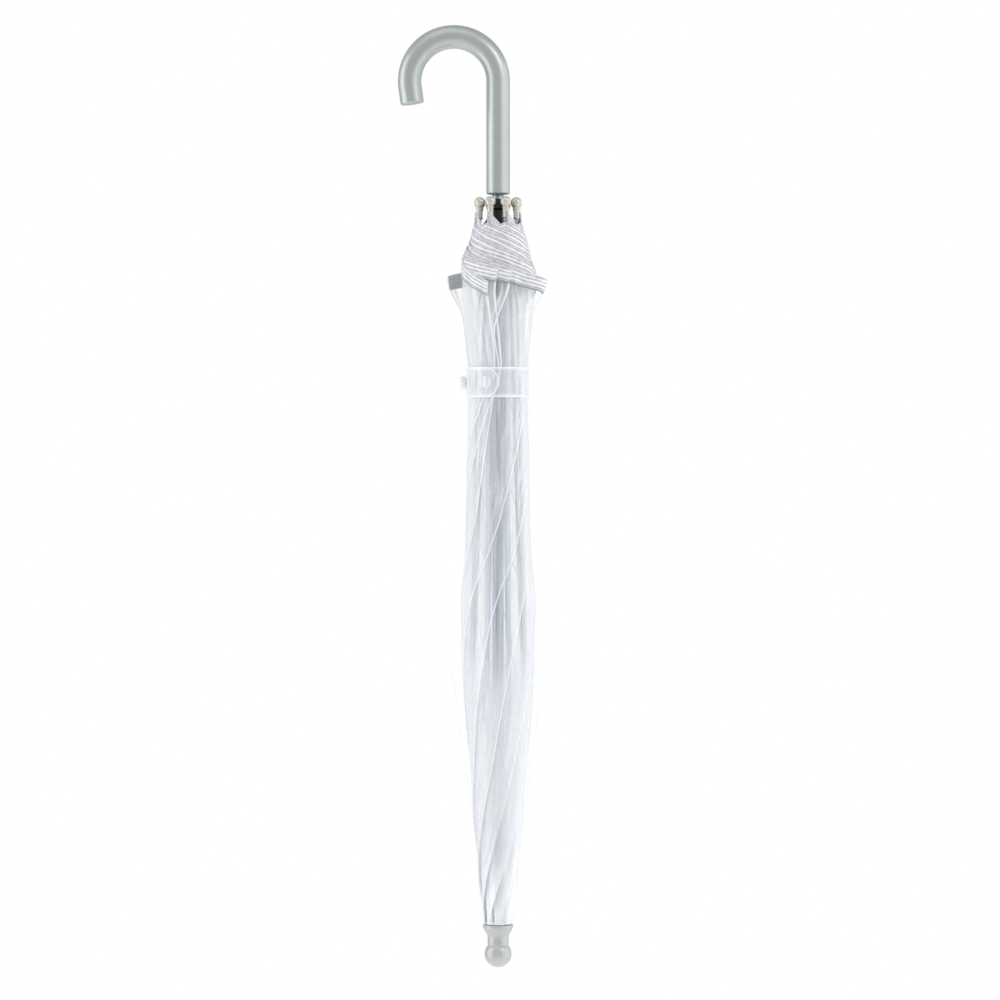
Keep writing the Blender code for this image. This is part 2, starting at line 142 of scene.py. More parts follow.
def polar(radius: Array, azimuth: Array, height: Array) -> Array:
    """Returns points from their radius, azimuth and height round the shaft, as arrays of one shape."""
    radius, azimuth, height = np.broadcast_arrays(radius, azimuth, height)
    return np.stack([radius * np.cos(azimuth), radius * np.sin(azimuth), height], axis=-1)


def arc(centre: tuple[float, float], radius: float, start: float, end: float, count: int) -> Array:
    """Returns points (x, y) on an arc from one angle to another, both ends included."""
    angles = np.linspace(start, end, count)
    return np.stack([centre[0] + radius * np.cos(angles), centre[1] + radius * np.sin(angles)], axis=-1)


def axis_turn(point: Array, axis: Array, angle: float) -> Array:
    """Gives the turn about a line.

    The rotation is the identity, plus the sine times the cross-product matrix of the axis, plus one less the
    cosine times that matrix squared.

    Args:
        point: a point on the line.
        axis: the line's direction.
        angle: the turn in radians.

    Returns:
        A 4 by 4 matrix.
    """
    x, y, z = np.asarray(axis, float) / np.linalg.norm(axis)
    cross = np.array([[0, -z, y], [z, 0, -x], [-y, x, 0]])
    turn = np.eye(3) + math.sin(angle) * cross + (1 - math.cos(angle)) * cross @ cross
    out = np.eye(4)
    out[:3, :3] = turn
    out[:3, 3] = np.asarray(point, float) - turn @ np.asarray(point, float)
    return out


def apply(matrix: Array, points: Array) -> Array:
    """Returns points of any array shape moved by a 4 by 4 matrix."""
    return points @ matrix[:3, :3].T + matrix[:3, 3]


def turn_many(points: Array, centre: Array, axis: Array, angles: Array) -> Array:
    """Turns each point about one line by its own angle.

    A point's offset keeps its part along the axis, and its part across turns by the angle.

    Args:
        points: the points, with coordinates last.
        centre: a point on the line.
        axis: the line's unit direction.
        angles: an angle for each point.

    Returns:
        The turned points.
    """
    offset = points - centre
    c, s = np.cos(angles)[..., None], np.sin(angles)[..., None]
    along = (offset @ axis)[..., None] * axis
    return centre + offset * c + np.cross(axis, offset) * s + along * (1 - c)


def grid_faces(rows: int, columns: int, wrap: bool = False) -> Array:
    """Joins a grid of points by quads.

    Args:
        rows: how many rows the grid has.
        columns: how many columns it has.
        wrap: whether the last column joins the first.

    Returns:
        Quads as rows of four indices.
    """
    index = np.arange(rows * columns).reshape(rows, columns)
    right = np.roll(index, -1, axis=1)
    quads = np.stack([index[:-1], right[:-1], right[1:], index[1:]], axis=-1)
    return (quads if wrap else quads[:, :-1]).reshape(-1, 4)


def mesh_object(
    name: str, points: Array, faces: Array, uv: Array | None = None, values: dict[str, Array] | None = None
) -> bpy.types.Object:
    """Makes a smooth mesh object.

    Args:
        name: the piece's name.
        points: its points, with coordinates last.
        faces: its faces, as rows of indices.
        uv: one (u, v) for each point, in millimetres of the real surface.
        values: named attributes with one number for each point.

    Returns:
        The object, at the origin.
    """
    mesh = bpy.data.meshes.new(name)
    mesh.from_pydata(points.reshape(-1, 3).tolist(), [], faces.tolist())
    if uv is not None:
        loops = np.empty(len(mesh.loops), np.int32)
        mesh.loops.foreach_get("vertex_index", loops)
        flat = uv.reshape(-1, 2)[loops].astype(np.float32)
        mesh.uv_layers.new(name="UVMap").data.foreach_set("uv", flat.ravel())
    for key, value in (values or {}).items():
        mesh.attributes.new(key, "FLOAT", "POINT").data.foreach_set("value", value.astype(np.float32).ravel())
    mesh.shade_smooth()
    made = bpy.data.objects.new(name, mesh)
    bpy.context.scene.collection.objects.link(made)
    return made


def seal(made: bpy.types.Object, sharp_deg: float = 40) -> bpy.types.Object:
    """Closes the seams and poles of a turned or swept piece, points its faces outwards and marks sharp edges.

    Args:
        made: the piece.
        sharp_deg: the angle between two faces past which their edge is sharp.

    Returns:
        The piece.
    """
    shape = bmesh.new()
    shape.from_mesh(made.data)
    bmesh.ops.remove_doubles(shape, verts=shape.verts, dist=1e-7)
    bmesh.ops.dissolve_degenerate(shape, dist=1e-8, edges=shape.edges)
    bmesh.ops.recalc_face_normals(shape, faces=shape.faces)
    shape.to_mesh(made.data)
    shape.free()
    made.data.shade_smooth()
    made.data.set_sharp_from_angle(angle=math.radians(sharp_deg))
    return made


def lathe(name: str, profile: Array, sides: int = 64, place: Array | None = None) -> bpy.types.Object:
    """Turns a profile round the shaft's axis.

    A point is (radius cos a, radius sin a, height), for a from 0 to a full turn.

    Args:
        name: the piece's name.
        profile: rows of (radius, height) that start and end on the axis or close on themselves.
        sides: how many steps make the full turn.
        place: a 4 by 4 matrix that puts the piece in its place.

    Returns:
        The closed object.
    """
    azimuth = np.arange(sides) * 2 * math.pi / sides
    points = polar(profile[:, :1], azimuth[None, :], profile[:, 1:])
    if place is not None:
        points = apply(place, points)
    return seal(mesh_object(name, points, grid_faces(len(profile), sides, wrap=True)))


def cut(made: bpy.types.Object, tool: bpy.types.Object) -> bpy.types.Object:
    """Cuts one object's shape from another and removes the tool.

    Args:
        made: the piece to cut.
        tool: the shape to take away.

    Returns:
        The piece.
    """
    step = made.modifiers.new("cut", "BOOLEAN")
    step.operation = "DIFFERENCE"
    step.solver = "EXACT"
    step.object = tool
    graph = bpy.context.evaluated_depsgraph_get()
    made.data = bpy.data.meshes.new_from_object(made.evaluated_get(graph))
    made.modifiers.clear()
    bpy.data.objects.remove(tool)
    return seal(made)


# ---------------------------------------------------------------- finishes


def add_node(
    tree: bpy.types.NodeTree, kind: str, inputs: dict[Any, Any] | None = None, **settings: Any
) -> Any:
    """Adds one node.

    Args:
        tree: the node tree.
        kind: the node's type name.
        inputs: a number, a colour or another node's output for each named or numbered input.
        settings: the node's own properties.

    Returns:
        The node.
    """
    node = tree.nodes.new(kind)
    for name, value in settings.items():
        setattr(node, name, value)
    for name, value in (inputs or {}).items():
        if isinstance(value, bpy.types.NodeSocket):
            tree.links.new(value, node.inputs[name])
        else:
            node.inputs[name].default_value = value
    return node


def empty_material(name: str) -> tuple[bpy.types.Material, bpy.types.NodeTree, Any]:
    """Makes a material.

    Args:
        name: its name.

    Returns:
        The material, its node tree and its Principled shader.
    """
    made = bpy.data.materials.new(name)
    made.use_nodes = True
    return made, made.node_tree, made.node_tree.nodes["Principled BSDF"]


@dataclass(frozen=True)
class Moulding:
    """A moulded or lacquered plastic part.

    The mould's fine grain shows as a soft unevenness in the highlight, and the batch's colour drifts slowly.
    """

    name: str
    light: str
    dark: str
    roughness: float
    metallic: float = 0.0
    coat: float = 0.0
    coat_roughness: float = 0.12
    spread: float = 0.04
    grain_mm: float = 0.9
    drift_mm: float = 14.0
    relief: float = 0.02
    relief_mm: float = 0.1

    def material(self) -> bpy.types.Material:
        """Builds the finish.

        Returns:
            The material.
        """
        made, tree, shader = empty_material(self.name)
        where = add_node(tree, "ShaderNodeTexCoord").outputs["Object"]
        drift = add_node(tree, "ShaderNodeTexNoise", {"Vector": where, "Scale": 1 / (self.drift_mm * MM),
                                                      "Detail": 3})
        colour = add_node(tree, "ShaderNodeMix", {"Factor": drift.outputs["Fac"], "A": linear(self.dark),
                                                  "B": linear(self.light)}, data_type="RGBA")
        grain = add_node(tree, "ShaderNodeTexNoise", {"Vector": where, "Scale": 1 / (self.grain_mm * MM),
                                                      "Detail": 2})
        rough = add_node(tree, "ShaderNodeMapRange", {"Value": grain.outputs["Fac"],
                                                      "To Min": self.roughness - self.spread,
                                                      "To Max": self.roughness + self.spread})
        bump = add_node(tree, "ShaderNodeBump", {"Height": grain.outputs["Fac"], "Strength": self.relief,
                                                 "Distance": self.relief_mm * MM})
        tree.links.new(colour.outputs["Result"], shader.inputs["Base Color"])
        tree.links.new(rough.outputs["Result"], shader.inputs["Roughness"])
        tree.links.new(bump.outputs["Normal"], shader.inputs["Normal"])
        shader.inputs["Metallic"].default_value = self.metallic
        shader.inputs["Coat Weight"].default_value = self.coat
        shader.inputs["Coat Roughness"].default_value = self.coat_roughness
        return made


@dataclass(frozen=True)
class ZincSteel:
    """Blue-passivated zinc on drawn steel: fine streaks run along the shaft and break up its shine."""

    name: str = "blue_zinc_steel"
    light: str = "#B4BFCC"
    dark: str = "#8C98A6"
    roughness: float = 0.30
    duller: float = 0.10
    brighter: float = 0.08
    streak_mm: float = 0.5
    stretch: float = 0.03

    def material(self) -> bpy.types.Material:
        """Builds the finish.

        Returns:
            The material.
        """
        made, tree, shader = empty_material(self.name)
        where = add_node(tree, "ShaderNodeTexCoord").outputs["Object"]
        long_way = add_node(tree, "ShaderNodeMapping", {"Vector": where, "Scale": (1, 1, self.stretch)})
        streak = add_node(tree, "ShaderNodeTexNoise", {"Vector": long_way.outputs["Vector"],
                                                       "Scale": 1 / (self.streak_mm * MM), "Detail": 4})
        colour = add_node(tree, "ShaderNodeMix", {"Factor": streak.outputs["Fac"], "A": linear(self.dark),
                                                  "B": linear(self.light)}, data_type="RGBA")
        rough = add_node(tree, "ShaderNodeMapRange", {"Value": streak.outputs["Fac"],
                                                      "To Min": self.roughness - self.brighter,
                                                      "To Max": self.roughness + self.duller})
        tree.links.new(colour.outputs["Result"], shader.inputs["Base Color"])
        tree.links.new(rough.outputs["Result"], shader.inputs["Roughness"])
        shader.inputs["Metallic"].default_value = 1.0
        return made


@dataclass(frozen=True)
class ClearFilm:
    """Soft clear vinyl film, about 0.15 mm thick.

    Seen square on it is nearly clear with a faint milk to it; seen along its face it mirrors the room, so the
    wrinkles draw bright lines. The attribute crease_and_highlight is 1 on a fold, where two thicknesses meet,
    and also marks the pleat lines beside it, the welds and the strap's rims; there the film is painted white.
    On the folded edges and pleat lines that white is a painted highlight for the light those edges catch. The
    attribute cling is above 0 where the layers are pressed together over the notch and turn milky. Its small
    emission is a painted glow that stands in for the room's light that the film scatters through from behind.
    """

    name: str = "clear_vinyl_film"
    tint: str = "#F3F5F8"
    haze: float = 0.05
    glancing: float = 0.40
    # crease_and_highlight: the weight of the painted white on folds, pleat lines, welds and rims
    crease_and_highlight: float = 0.80
    cling: float = 0.28
    # painted_glow and its tint: a painted glow, emission that stands in for room light scattered through the
    # film
    painted_glow: float = 0.075
    painted_glow_tint: str = "#F8FAFF"
    streak_mm: float = 2.4
    stretch: float = 0.06
    patches: tuple[float, float] = (0.35, 0.75)
    patch_haze: tuple[float, float] = (0.4, 2.2)
    edge_blend: float = 0.35
    edge_power: float = 2.2
    relief: float = 0.25
    relief_mm: float = 0.3
    roughness: float = 0.10
    ior: float = 1.9

    def material(self) -> bpy.types.Material:
        """Builds the finish.

        Returns:
            The material.
        """
        made, tree, shader = empty_material(self.name)
        where = add_node(tree, "ShaderNodeTexCoord").outputs["Object"]
        long_way = add_node(tree, "ShaderNodeMapping", {"Vector": where, "Scale": (1, 1, self.stretch)})
        streak = add_node(tree, "ShaderNodeTexNoise", {"Vector": long_way.outputs["Vector"],
                                                       "Scale": 1 / (self.streak_mm * MM), "Detail": 3})
        cloud = add_node(tree, "ShaderNodeMapRange", {"Value": streak.outputs["Fac"],
                                                      "From Min": self.patches[0],
                                                      "From Max": self.patches[1],
                                                      "To Min": self.patch_haze[0] * self.haze,
                                                      "To Max": self.patch_haze[1] * self.haze})
        facing = add_node(tree, "ShaderNodeLayerWeight", {"Blend": self.edge_blend})
        edge = add_node(tree, "ShaderNodeMath", {0: facing.outputs["Facing"], 1: self.edge_power},
                        operation="POWER")
        glance = add_node(tree, "ShaderNodeMath", {0: edge.outputs[0], 1: self.glancing,
                                                   2: cloud.outputs["Result"]}, operation="MULTIPLY_ADD")
        press = add_node(tree, "ShaderNodeAttribute", attribute_name="cling")
        milky = add_node(tree, "ShaderNodeMath", {0: press.outputs["Fac"], 1: self.cling,
                                                  2: glance.outputs[0]}, operation="MULTIPLY_ADD")
        # painted highlight: the crease_and_highlight mark paints the film opaque white along folds and pleat
        # lines
        fold = add_node(tree, "ShaderNodeAttribute", attribute_name="crease_and_highlight")
        alpha = add_node(tree, "ShaderNodeMath", {0: fold.outputs["Fac"], 1: self.crease_and_highlight,
                                                  2: milky.outputs[0]}, operation="MULTIPLY_ADD",
                         use_clamp=True)
        bump = add_node(tree, "ShaderNodeBump", {"Height": streak.outputs["Fac"], "Strength": self.relief,
                                                 "Distance": self.relief_mm * MM})
        tree.links.new(alpha.outputs[0], shader.inputs["Alpha"])
        tree.links.new(bump.outputs["Normal"], shader.inputs["Normal"])
        shader.inputs["Base Color"].default_value = linear(self.tint)
        shader.inputs["Roughness"].default_value = self.roughness
        shader.inputs["IOR"].default_value = self.ior
        # painted glow: the film's emission stands in for the room's light scattered through it from behind
        shader.inputs["Emission Color"].default_value = linear(self.painted_glow_tint)
        shader.inputs["Emission Strength"].default_value = self.painted_glow
        return made


@dataclass(frozen=True)
class HemBinding:
    """Silver-white satin ribbon, woven of fine polyester and stitched over the film's edge.

    The weave is ribbed along the ribbon, so it shows as bright lines with grey ones between them; the grey is
    painted shade in the grooves, which also stands in for the shadows between the stacked bands. Its back is
    painted greyer, a painted shade for the inner face that lies in shadow, and its stitched edge carries a
    dark line that is both the stitching and a painted shadow.
    """

    name: str = "satin_hem_binding"
    face: str = "#F1F1F6"
    # shade: a painted shade, used in the weave's grooves and along the stitched edge
    shade: str = "#85888E"
    # back: painted shade, the ribbon's inner face made greyer for the shadow it lies in
    back: str = "#C8CACD"
    thread_mm: float = 2.5
    thread_depth: float = 0.34
    brighten: float = 0.18
    stitch_mm: float = 2.6
    stitch_depth: float = 0.35
    edge_mm: tuple[float, float] = (0.5, 1.6)
    edge_shade: float = 0.95
    turn_mm: float = 0.6
    width_mm: float = 10.5
    drift: float = 0.22
    relief: float = 0.35
    relief_mm: float = 0.12
    roughness: float = 0.42
    sheen: float = 0.35

    def ridges(self, tree: bpy.types.NodeTree, place: Any, pitch: float) -> Any:
        """Adds a sine wave.

        Args:
            tree: the node tree.
            place: the output that gives the place in millimetres.
            pitch: the distance from one ridge to the next, in millimetres.

        Returns:
            The wave's output, from -1 to 1.
        """
        phase = add_node(tree, "ShaderNodeMath", {0: place, 1: 2 * math.pi / pitch}, operation="MULTIPLY")
        return add_node(tree, "ShaderNodeMath", {0: phase.outputs[0]}, operation="SINE").outputs[0]

    def material(self) -> bpy.types.Material:
        """Builds the finish.

        Returns:
            The material.
        """
        made, tree, shader = empty_material(self.name)
        uv = add_node(tree, "ShaderNodeUVMap", uv_map="UVMap").outputs["UV"]
        split = add_node(tree, "ShaderNodeSeparateXYZ", {0: uv})
        across, along = split.outputs["Y"], split.outputs["X"]
        thread, stitch = self.ridges(tree, across, self.thread_mm), self.ridges(tree, along, self.stitch_mm)
        slow = add_node(tree, "ShaderNodeTexNoise", {"Vector": uv, "Scale": self.drift, "Detail": 3})
        ridge = add_node(tree, "ShaderNodeMath", {0: thread, 1: self.thread_depth, 2: slow.outputs["Fac"]},
                         operation="MULTIPLY_ADD", use_clamp=True)
        lift = add_node(tree, "ShaderNodeMath", {0: ridge.outputs[0], 1: self.brighten}, operation="ADD",
                        use_clamp=True)
        # painted shade: the grooves between the weave's ribs are mixed towards shade, standing in also for
        # shadows between stacked bands
        base = add_node(tree, "ShaderNodeMix", {"Factor": lift.outputs[0], "A": linear(self.shade),
                                                "B": linear(self.face)}, data_type="RGBA")
        # painted shadow with the stitch line: the ribbon's lower edge is darkened towards shade
        edge_shadow_mask = add_node(tree, "ShaderNodeMapRange", {"Value": across, "From Min": self.edge_mm[0],
                                                         "From Max": self.edge_mm[1],
                                                         "To Min": self.edge_shade, "To Max": 0.0})
        stitched_edge_shadow = add_node(tree, "ShaderNodeMix", {"Factor": edge_shadow_mask.outputs["Result"],
                                                "A": base.outputs["Result"], "B": linear(self.shade)},
                        data_type="RGBA")
        # painted shade: past the fold over the edge, the ribbon takes the greyer back colour
        inside = add_node(tree, "ShaderNodeMapRange", {"Value": across, "From Min": self.width_mm,
                                                       "From Max": self.width_mm + self.turn_mm})
        colour = add_node(tree, "ShaderNodeMix", {"Factor": inside.outputs["Result"],
                                                  "A": stitched_edge_shadow.outputs["Result"], "B": linear(self.back)},
                          data_type="RGBA")
        weave = add_node(tree, "ShaderNodeMath", {0: stitch, 1: self.stitch_depth, 2: thread},
                         operation="MULTIPLY_ADD")
        bump = add_node(tree, "ShaderNodeBump", {"Height": weave.outputs[0], "Strength": self.relief,
                                                 "Distance": self.relief_mm * MM})
        tree.links.new(colour.outputs["Result"], shader.inputs["Base Color"])
        tree.links.new(bump.outputs["Normal"], shader.inputs["Normal"])
        shader.inputs["Roughness"].default_value = self.roughness
        shader.inputs["Sheen Weight"].default_value = self.sheen
        shader.inputs["Sheen Roughness"].default_value = self.sheen
        return made


class Finish(Enum):
    """The finishes of the umbrella, each with the record's slot it paints."""

    SILVER_LACQUER = ("handle_plastic", Moulding("silver_lacquered_abs", "#BBC0BD", "#AFB4B1", 0.36,
                                                 metallic=0.70, coat=0.1))
    MOULDED_GREY = ("ferrule_plastic", Moulding("silver_grey_abs", "#C4C6C5", "#B6B9B7", 0.36, metallic=0.30,
                                                coat=0.15))
    NOTCH_PLASTIC = ("ferrule_plastic", Moulding("milky_nylon", "#E4E6E6", "#D6D8D8", 0.42))
    PEARL = ("pearl_plastic", Moulding("pearl_abs", "#DAD6CC", "#B9B4A8", 0.24, metallic=0.35, coat=0.4,
                                       drift_mm=3.0))
    BLACK_ACETAL = ("black_plastic", Moulding("black_acetal", "#151516", "#0B0B0C", 0.38, grain_mm=0.6))
    ZINC = ("steel", ZincSteel())
    RIB_COAT = ("steel", Moulding("pale_epoxy_coated_steel", "#DFE3E8", "#CBD0D6", 0.34, coat=0.2))
    FILM = ("clear_film", ClearFilm())
    STRAP_FILM = ("clear_film", ClearFilm("clear_strap_film", "#F3F6FA", haze=0.11, crease_and_highlight=0.95))
    CLEAR_SNAP = ("pearl_plastic", ClearFilm("clear_snap_plastic", "#F3F4FA", haze=0.30, glancing=0.8))
    PANEL_FILM = ("clear_film", ClearFilm("clear_panel_film", "#EEF3F8", haze=0.035, glancing=0.35,
                                          streak_mm=12.0))
    SNAP = ("pearl_plastic", Moulding("milky_snap_plastic", "#F6F7F1", "#E9EBE2", 0.25, coat=0.5))
    BINDING = ("hem_trim", HemBinding())


class Wardrobe:
    """Makes each finish once and dresses pieces with it."""

    def __init__(self) -> None:
        """Starts with no material made."""
        self.made: dict[Finish, bpy.types.Material] = {}

    def dress(self, piece: bpy.types.Object, finish: Finish) -> bpy.types.Object:
        """Gives a piece its finish.

        Args:
            piece: the piece, or a node's object.
            finish: the finish.

        Returns:
            The piece.
        """
        slot, recipe = finish.value
        if finish not in self.made:
            self.made[finish] = recipe.material()
        piece.data.materials.clear()
        piece.data.materials.append(self.made[finish])
        return piece


# ---------------------------------------------------------------- the frame's motion


class Rig:
    """How the frame's bodies stand when the runner has gone to its limit."""

    def __init__(self, joints: list[dict[str, Any]], couplings: list[dict[str, Any]], driver: str) -> None:
        """Reads the joints.

        Args:
            joints: the frame's joints.
            couplings: the frame's couplings.
            driver: the joint that opens the umbrella.
        """
        self.by_child = {joint["child"]: joint for joint in joints}
        travel = next(joint["range_m"][1] for joint in joints if joint["name"] == driver)
        self.values = {row["joint"]: row["ratio"] * travel for row in couplings if row["follows"] == driver}
        self.values[driver] = travel

    def pivot(self, body: str) -> Array:
        """Returns the pivot that a body hangs on, at rest."""
        return np.array(self.by_child[body]["pos_m"], float)

    def axis(self, body: str) -> Array:
        """Returns the unit axis that a body turns about, at rest."""
        axis = np.array(self.by_child[body]["axis"], float)
        return axis / np.linalg.norm(axis)

    def angle(self, body: str) -> float:
        """Returns how far a body's own joint turns, in radians."""
        return self.values[self.by_child[body]["name"]]

    def opened(self, body: str) -> Array:
        """Gives a body's motion from furled to open: its own joint's, then its parent's.

        Args:
            body: the body's name.

        Returns:
            A 4 by 4 matrix.
        """
        joint = self.by_child.get(body)
        if joint is None:
            return np.eye(4)
        value = self.values.get(joint["name"], 0.0)
        if joint["type"] == "slide":
            own = np.eye(4)
            own[:3, 3] = value * np.array(joint["axis"], float)
        else:
            own = axis_turn(joint["pos_m"], joint["axis"], value)
        return self.opened(joint["parent"]) @ own


RIBS = 8
PITCH = 2 * math.pi / RIBS


@dataclass
class RibLines:
    """The straight lines of the ribs at rest, read from the frame."""

    rig: Rig
    tip_ball: float = 3.9 * MM
    tip_ball_lift: float = 7.4 * MM

    def __post_init__(self) -> None:
        """Works out the three points of the first rib's line as (radius, height)."""
        notch, knee = self.rig.pivot("rib_inner_1"), self.rig.pivot("rib_outer_1")
        self.first = math.atan2(notch[1], notch[0])
        low, high = (np.array(corner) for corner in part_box("rib_tip_1"))
        ball = np.array([*((low + high) / 2)[:2], high[2] - self.tip_ball])
        tip = ball - (ball - knee) / np.linalg.norm(ball - knee) * self.tip_ball_lift
        flat = [np.array([math.hypot(p[0], p[1]), p[2]]) for p in (notch, knee, tip)]
        self.notch, self.knee, self.tip = flat

    def azimuth(self, number: int) -> float:
        """Returns the azimuth of a rib, counted from 1; past the last it goes on round."""
        return self.first + (number - 1) * PITCH

    def radius(self, height: Array) -> Array:
        """Returns the ribs' distance from the axis at a height."""
        places = [self.notch[1], self.knee[1], self.tip[1]]
        return np.interp(height, places, [self.notch[0], self.knee[0], self.tip[0]])

    def opened_radius(self, height: Array) -> Array:
        """Tells how far from the axis a rib stands when the umbrella is open.

        Args:
            height: heights on the furled rib.

        Returns:
            The open rib's radius at the points that have those heights when furled.
        """
        ends = [("rib_inner_1", self.notch), ("rib_inner_1", self.knee), ("rib_outer_1", self.tip)]
        spread = [self.world(1, point, self.rig.opened(body)) for body, point in ends]
        places = [self.notch[1], self.knee[1], self.tip[1]]
        return np.interp(height, places, [math.hypot(p[0], p[1]) for p in spread])

    def world(self, number: int, point: Array, matrix: Array | None = None) -> Array:
        """Returns a point (radius, height) of a rib's plane, moved by a matrix if one is given."""
        placed = polar(np.array(point[0]), np.array(self.azimuth(number)), np.array(point[1]))
        return placed if matrix is None else apply(matrix, placed)


# ---------------------------------------------------------------- hard parts


@dataclass
class CrookHandle:
    """The crook: one round rod, straight over the shaft and bent through a little more than a half circle."""

    wardrobe: Wardrobe
    sweep: float = math.radians(188)
    tail: float = 12.0 * MM
    rounding: float = 1.1 * MM
    bore: float = 4.3 * MM
    bore_top: float = 602 * MM
    corner_steps: int = 7
    rings: int = 190
    sides: int = 72

    def route(self, along: Array, bottom: float, centre: float, bend: float) -> tuple[Array, Array]:
        """Follows the rod's centreline.

        It goes straight up, then round an arc about (-bend, centre), then straight on.

        Args:
            along: distances along the line from its bottom.
            bottom: the height of the rod's bottom.
            centre: the height of the arc's centre.
            bend: the arc's radius.

        Returns:
            The points, and the unit directions towards the outside of the bend.
        """
        leg = centre - bottom
        angle = np.clip((along - leg) / bend, 0, self.sweep)
        before = np.minimum(along - leg, 0)
        after = np.maximum(along - leg - bend * self.sweep, 0)
        x = -bend + bend * np.cos(angle) - after * np.sin(angle)
        z = centre + bend * np.sin(angle) + before + after * np.cos(angle)
        zero = np.zeros_like(x)
        return np.stack([x, zero, z], axis=-1), np.stack([np.cos(angle), zero, np.sin(angle)], axis=-1)

    def build(self) -> bpy.types.Object:
        """Builds the rod with its rounded ends and the socket for the shaft.

        Returns:
            The handle.
        """
        low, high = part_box("handle")
        radius = (high.y - low.y) / 2
        bend = (-low.x - radius) / 2
        centre = high.z - radius - bend
        length = centre - low.z + bend * self.sweep + self.tail
        corner = arc((0, 0), 1, math.pi, math.pi / 2, self.corner_steps)
        rise, inset = self.rounding * (1 + corner[:, 0]), self.rounding * (1 - corner[:, 1])
        middle = np.linspace(self.rounding, length - self.rounding, self.rings)[1:-1]
        socket = self.bore_top - low.z
        along = np.concatenate([[socket, socket, 0], rise, middle, length - rise[::-1], [length]])
        wide = np.concatenate([[0, self.bore, self.bore], radius - inset, np.full(len(middle), radius),
                               radius - inset[::-1], [0]])
        points, outside = self.route(along, low.z, centre, bend)
        around = np.arange(self.sides) * 2 * math.pi / self.sides
        ring = np.cos(around)[None, :, None] * outside[:, None, :]
        ring = ring + np.sin(around)[None, :, None] * np.array([0, 1, 0])
        made = mesh_object("crook_handle", points[:, None, :] + wide[:, None, None] * ring,
                           grid_faces(len(along), self.sides, wrap=True))
        seal(made)
        self.wardrobe.dress(made, Finish.SILVER_LACQUER)
        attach(made, "stick")
        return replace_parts(made, "handle")


@dataclass
class Ferrule:
    """The moulded end piece: a flared cup under the film, a neck and a ball with a small flat.

    The cup is given as (height, radius) in millimetres, from the neck up.
    """

    wardrobe: Wardrobe
    ball: float = 9.7 * MM
    ball_height: float = 9.4 * MM
    neck: float = 7.6 * MM
    lip_round: float = 0.45 * MM
    cup: tuple[tuple[float, float], ...] = (
        (16.6, 7.6), (21.0, 7.6), (23.0, 7.9), (25.0, 8.9), (27.0, 10.1), (28.8, 10.75),
    )
    bore: float = 4.3 * MM
    bore_floor: float = 11.7 * MM

    def build(self) -> bpy.types.Object:
        """Builds the ferrule from its profile.

        Returns:
            The ferrule.
        """
        top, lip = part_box("ferrule_ball")[1].z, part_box("ferrule_ball")[1].x
        flare = np.array(self.cup) * MM
        heights = np.linspace(flare[-1, 0], flare[0, 0], 26)
        cup = np.stack([soft_curve(flare, heights), heights], axis=-1)
        r = self.lip_round
        rim = arc((lip - r, top - r), r, math.pi / 2, -0.35 * math.pi, 8)
        meet = math.acos((self.neck - 0.25 * MM) / self.ball)
        flat = -math.acos(math.sqrt(self.ball**2 - self.ball_height**2) / self.ball)
        globe = arc((0, self.ball_height), self.ball, meet, flat, 40)
        start = [[0, self.bore_floor], [self.bore, self.bore_floor], [self.bore, top]]
        profile = np.concatenate([start, rim, cup, globe, [[0, 0]]])
        made = lathe("ferrule", profile, 96)
        self.wardrobe.dress(made, Finish.MOULDED_GREY)
        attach(made, "stick")
        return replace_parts(made, "ferrule_ball")


@dataclass
class Stem:
    """The steel tube, and the small steel and plastic pieces on it that keep the frame's own shapes."""

    wardrobe: Wardrobe
    wall: float = 0.7 * MM
    lead_in: float = 0.4 * MM

    def build(self) -> bpy.types.Object:
        """Builds the tube with its ends broken.

        Returns:
            The tube.
        """
        low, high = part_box("shaft")
        radius, inner = high.x, high.x - self.wall
        profile = np.array([[inner, low.z], [inner, high.z], [radius - self.lead_in / 2, high.z],
                            [radius, high.z - self.lead_in], [radius, low.z + self.lead_in],
                            [radius - self.lead_in / 2, low.z], [inner, low.z]])
        made = lathe("shaft_tube", profile)
        self.wardrobe.dress(made, Finish.ZINC)
        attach(made, "stick")
        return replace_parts(made, "shaft")

    def dress_nodes(self) -> None:
        """Gives the nodes that keep their own shape their finishes."""
        for name, node in frame["nodes"].items():
            if name.startswith(("rib_inner", "rib_outer", "stretcher")):
                self.wardrobe.dress(node, Finish.RIB_COAT)
            elif name in ("notch_wire", "bottom_catch", "top_catch"):
                self.wardrobe.dress(node, Finish.ZINC)
            elif name in ("canopy_cap", "top_notch"):
                self.wardrobe.dress(node, Finish.NOTCH_PLASTIC)


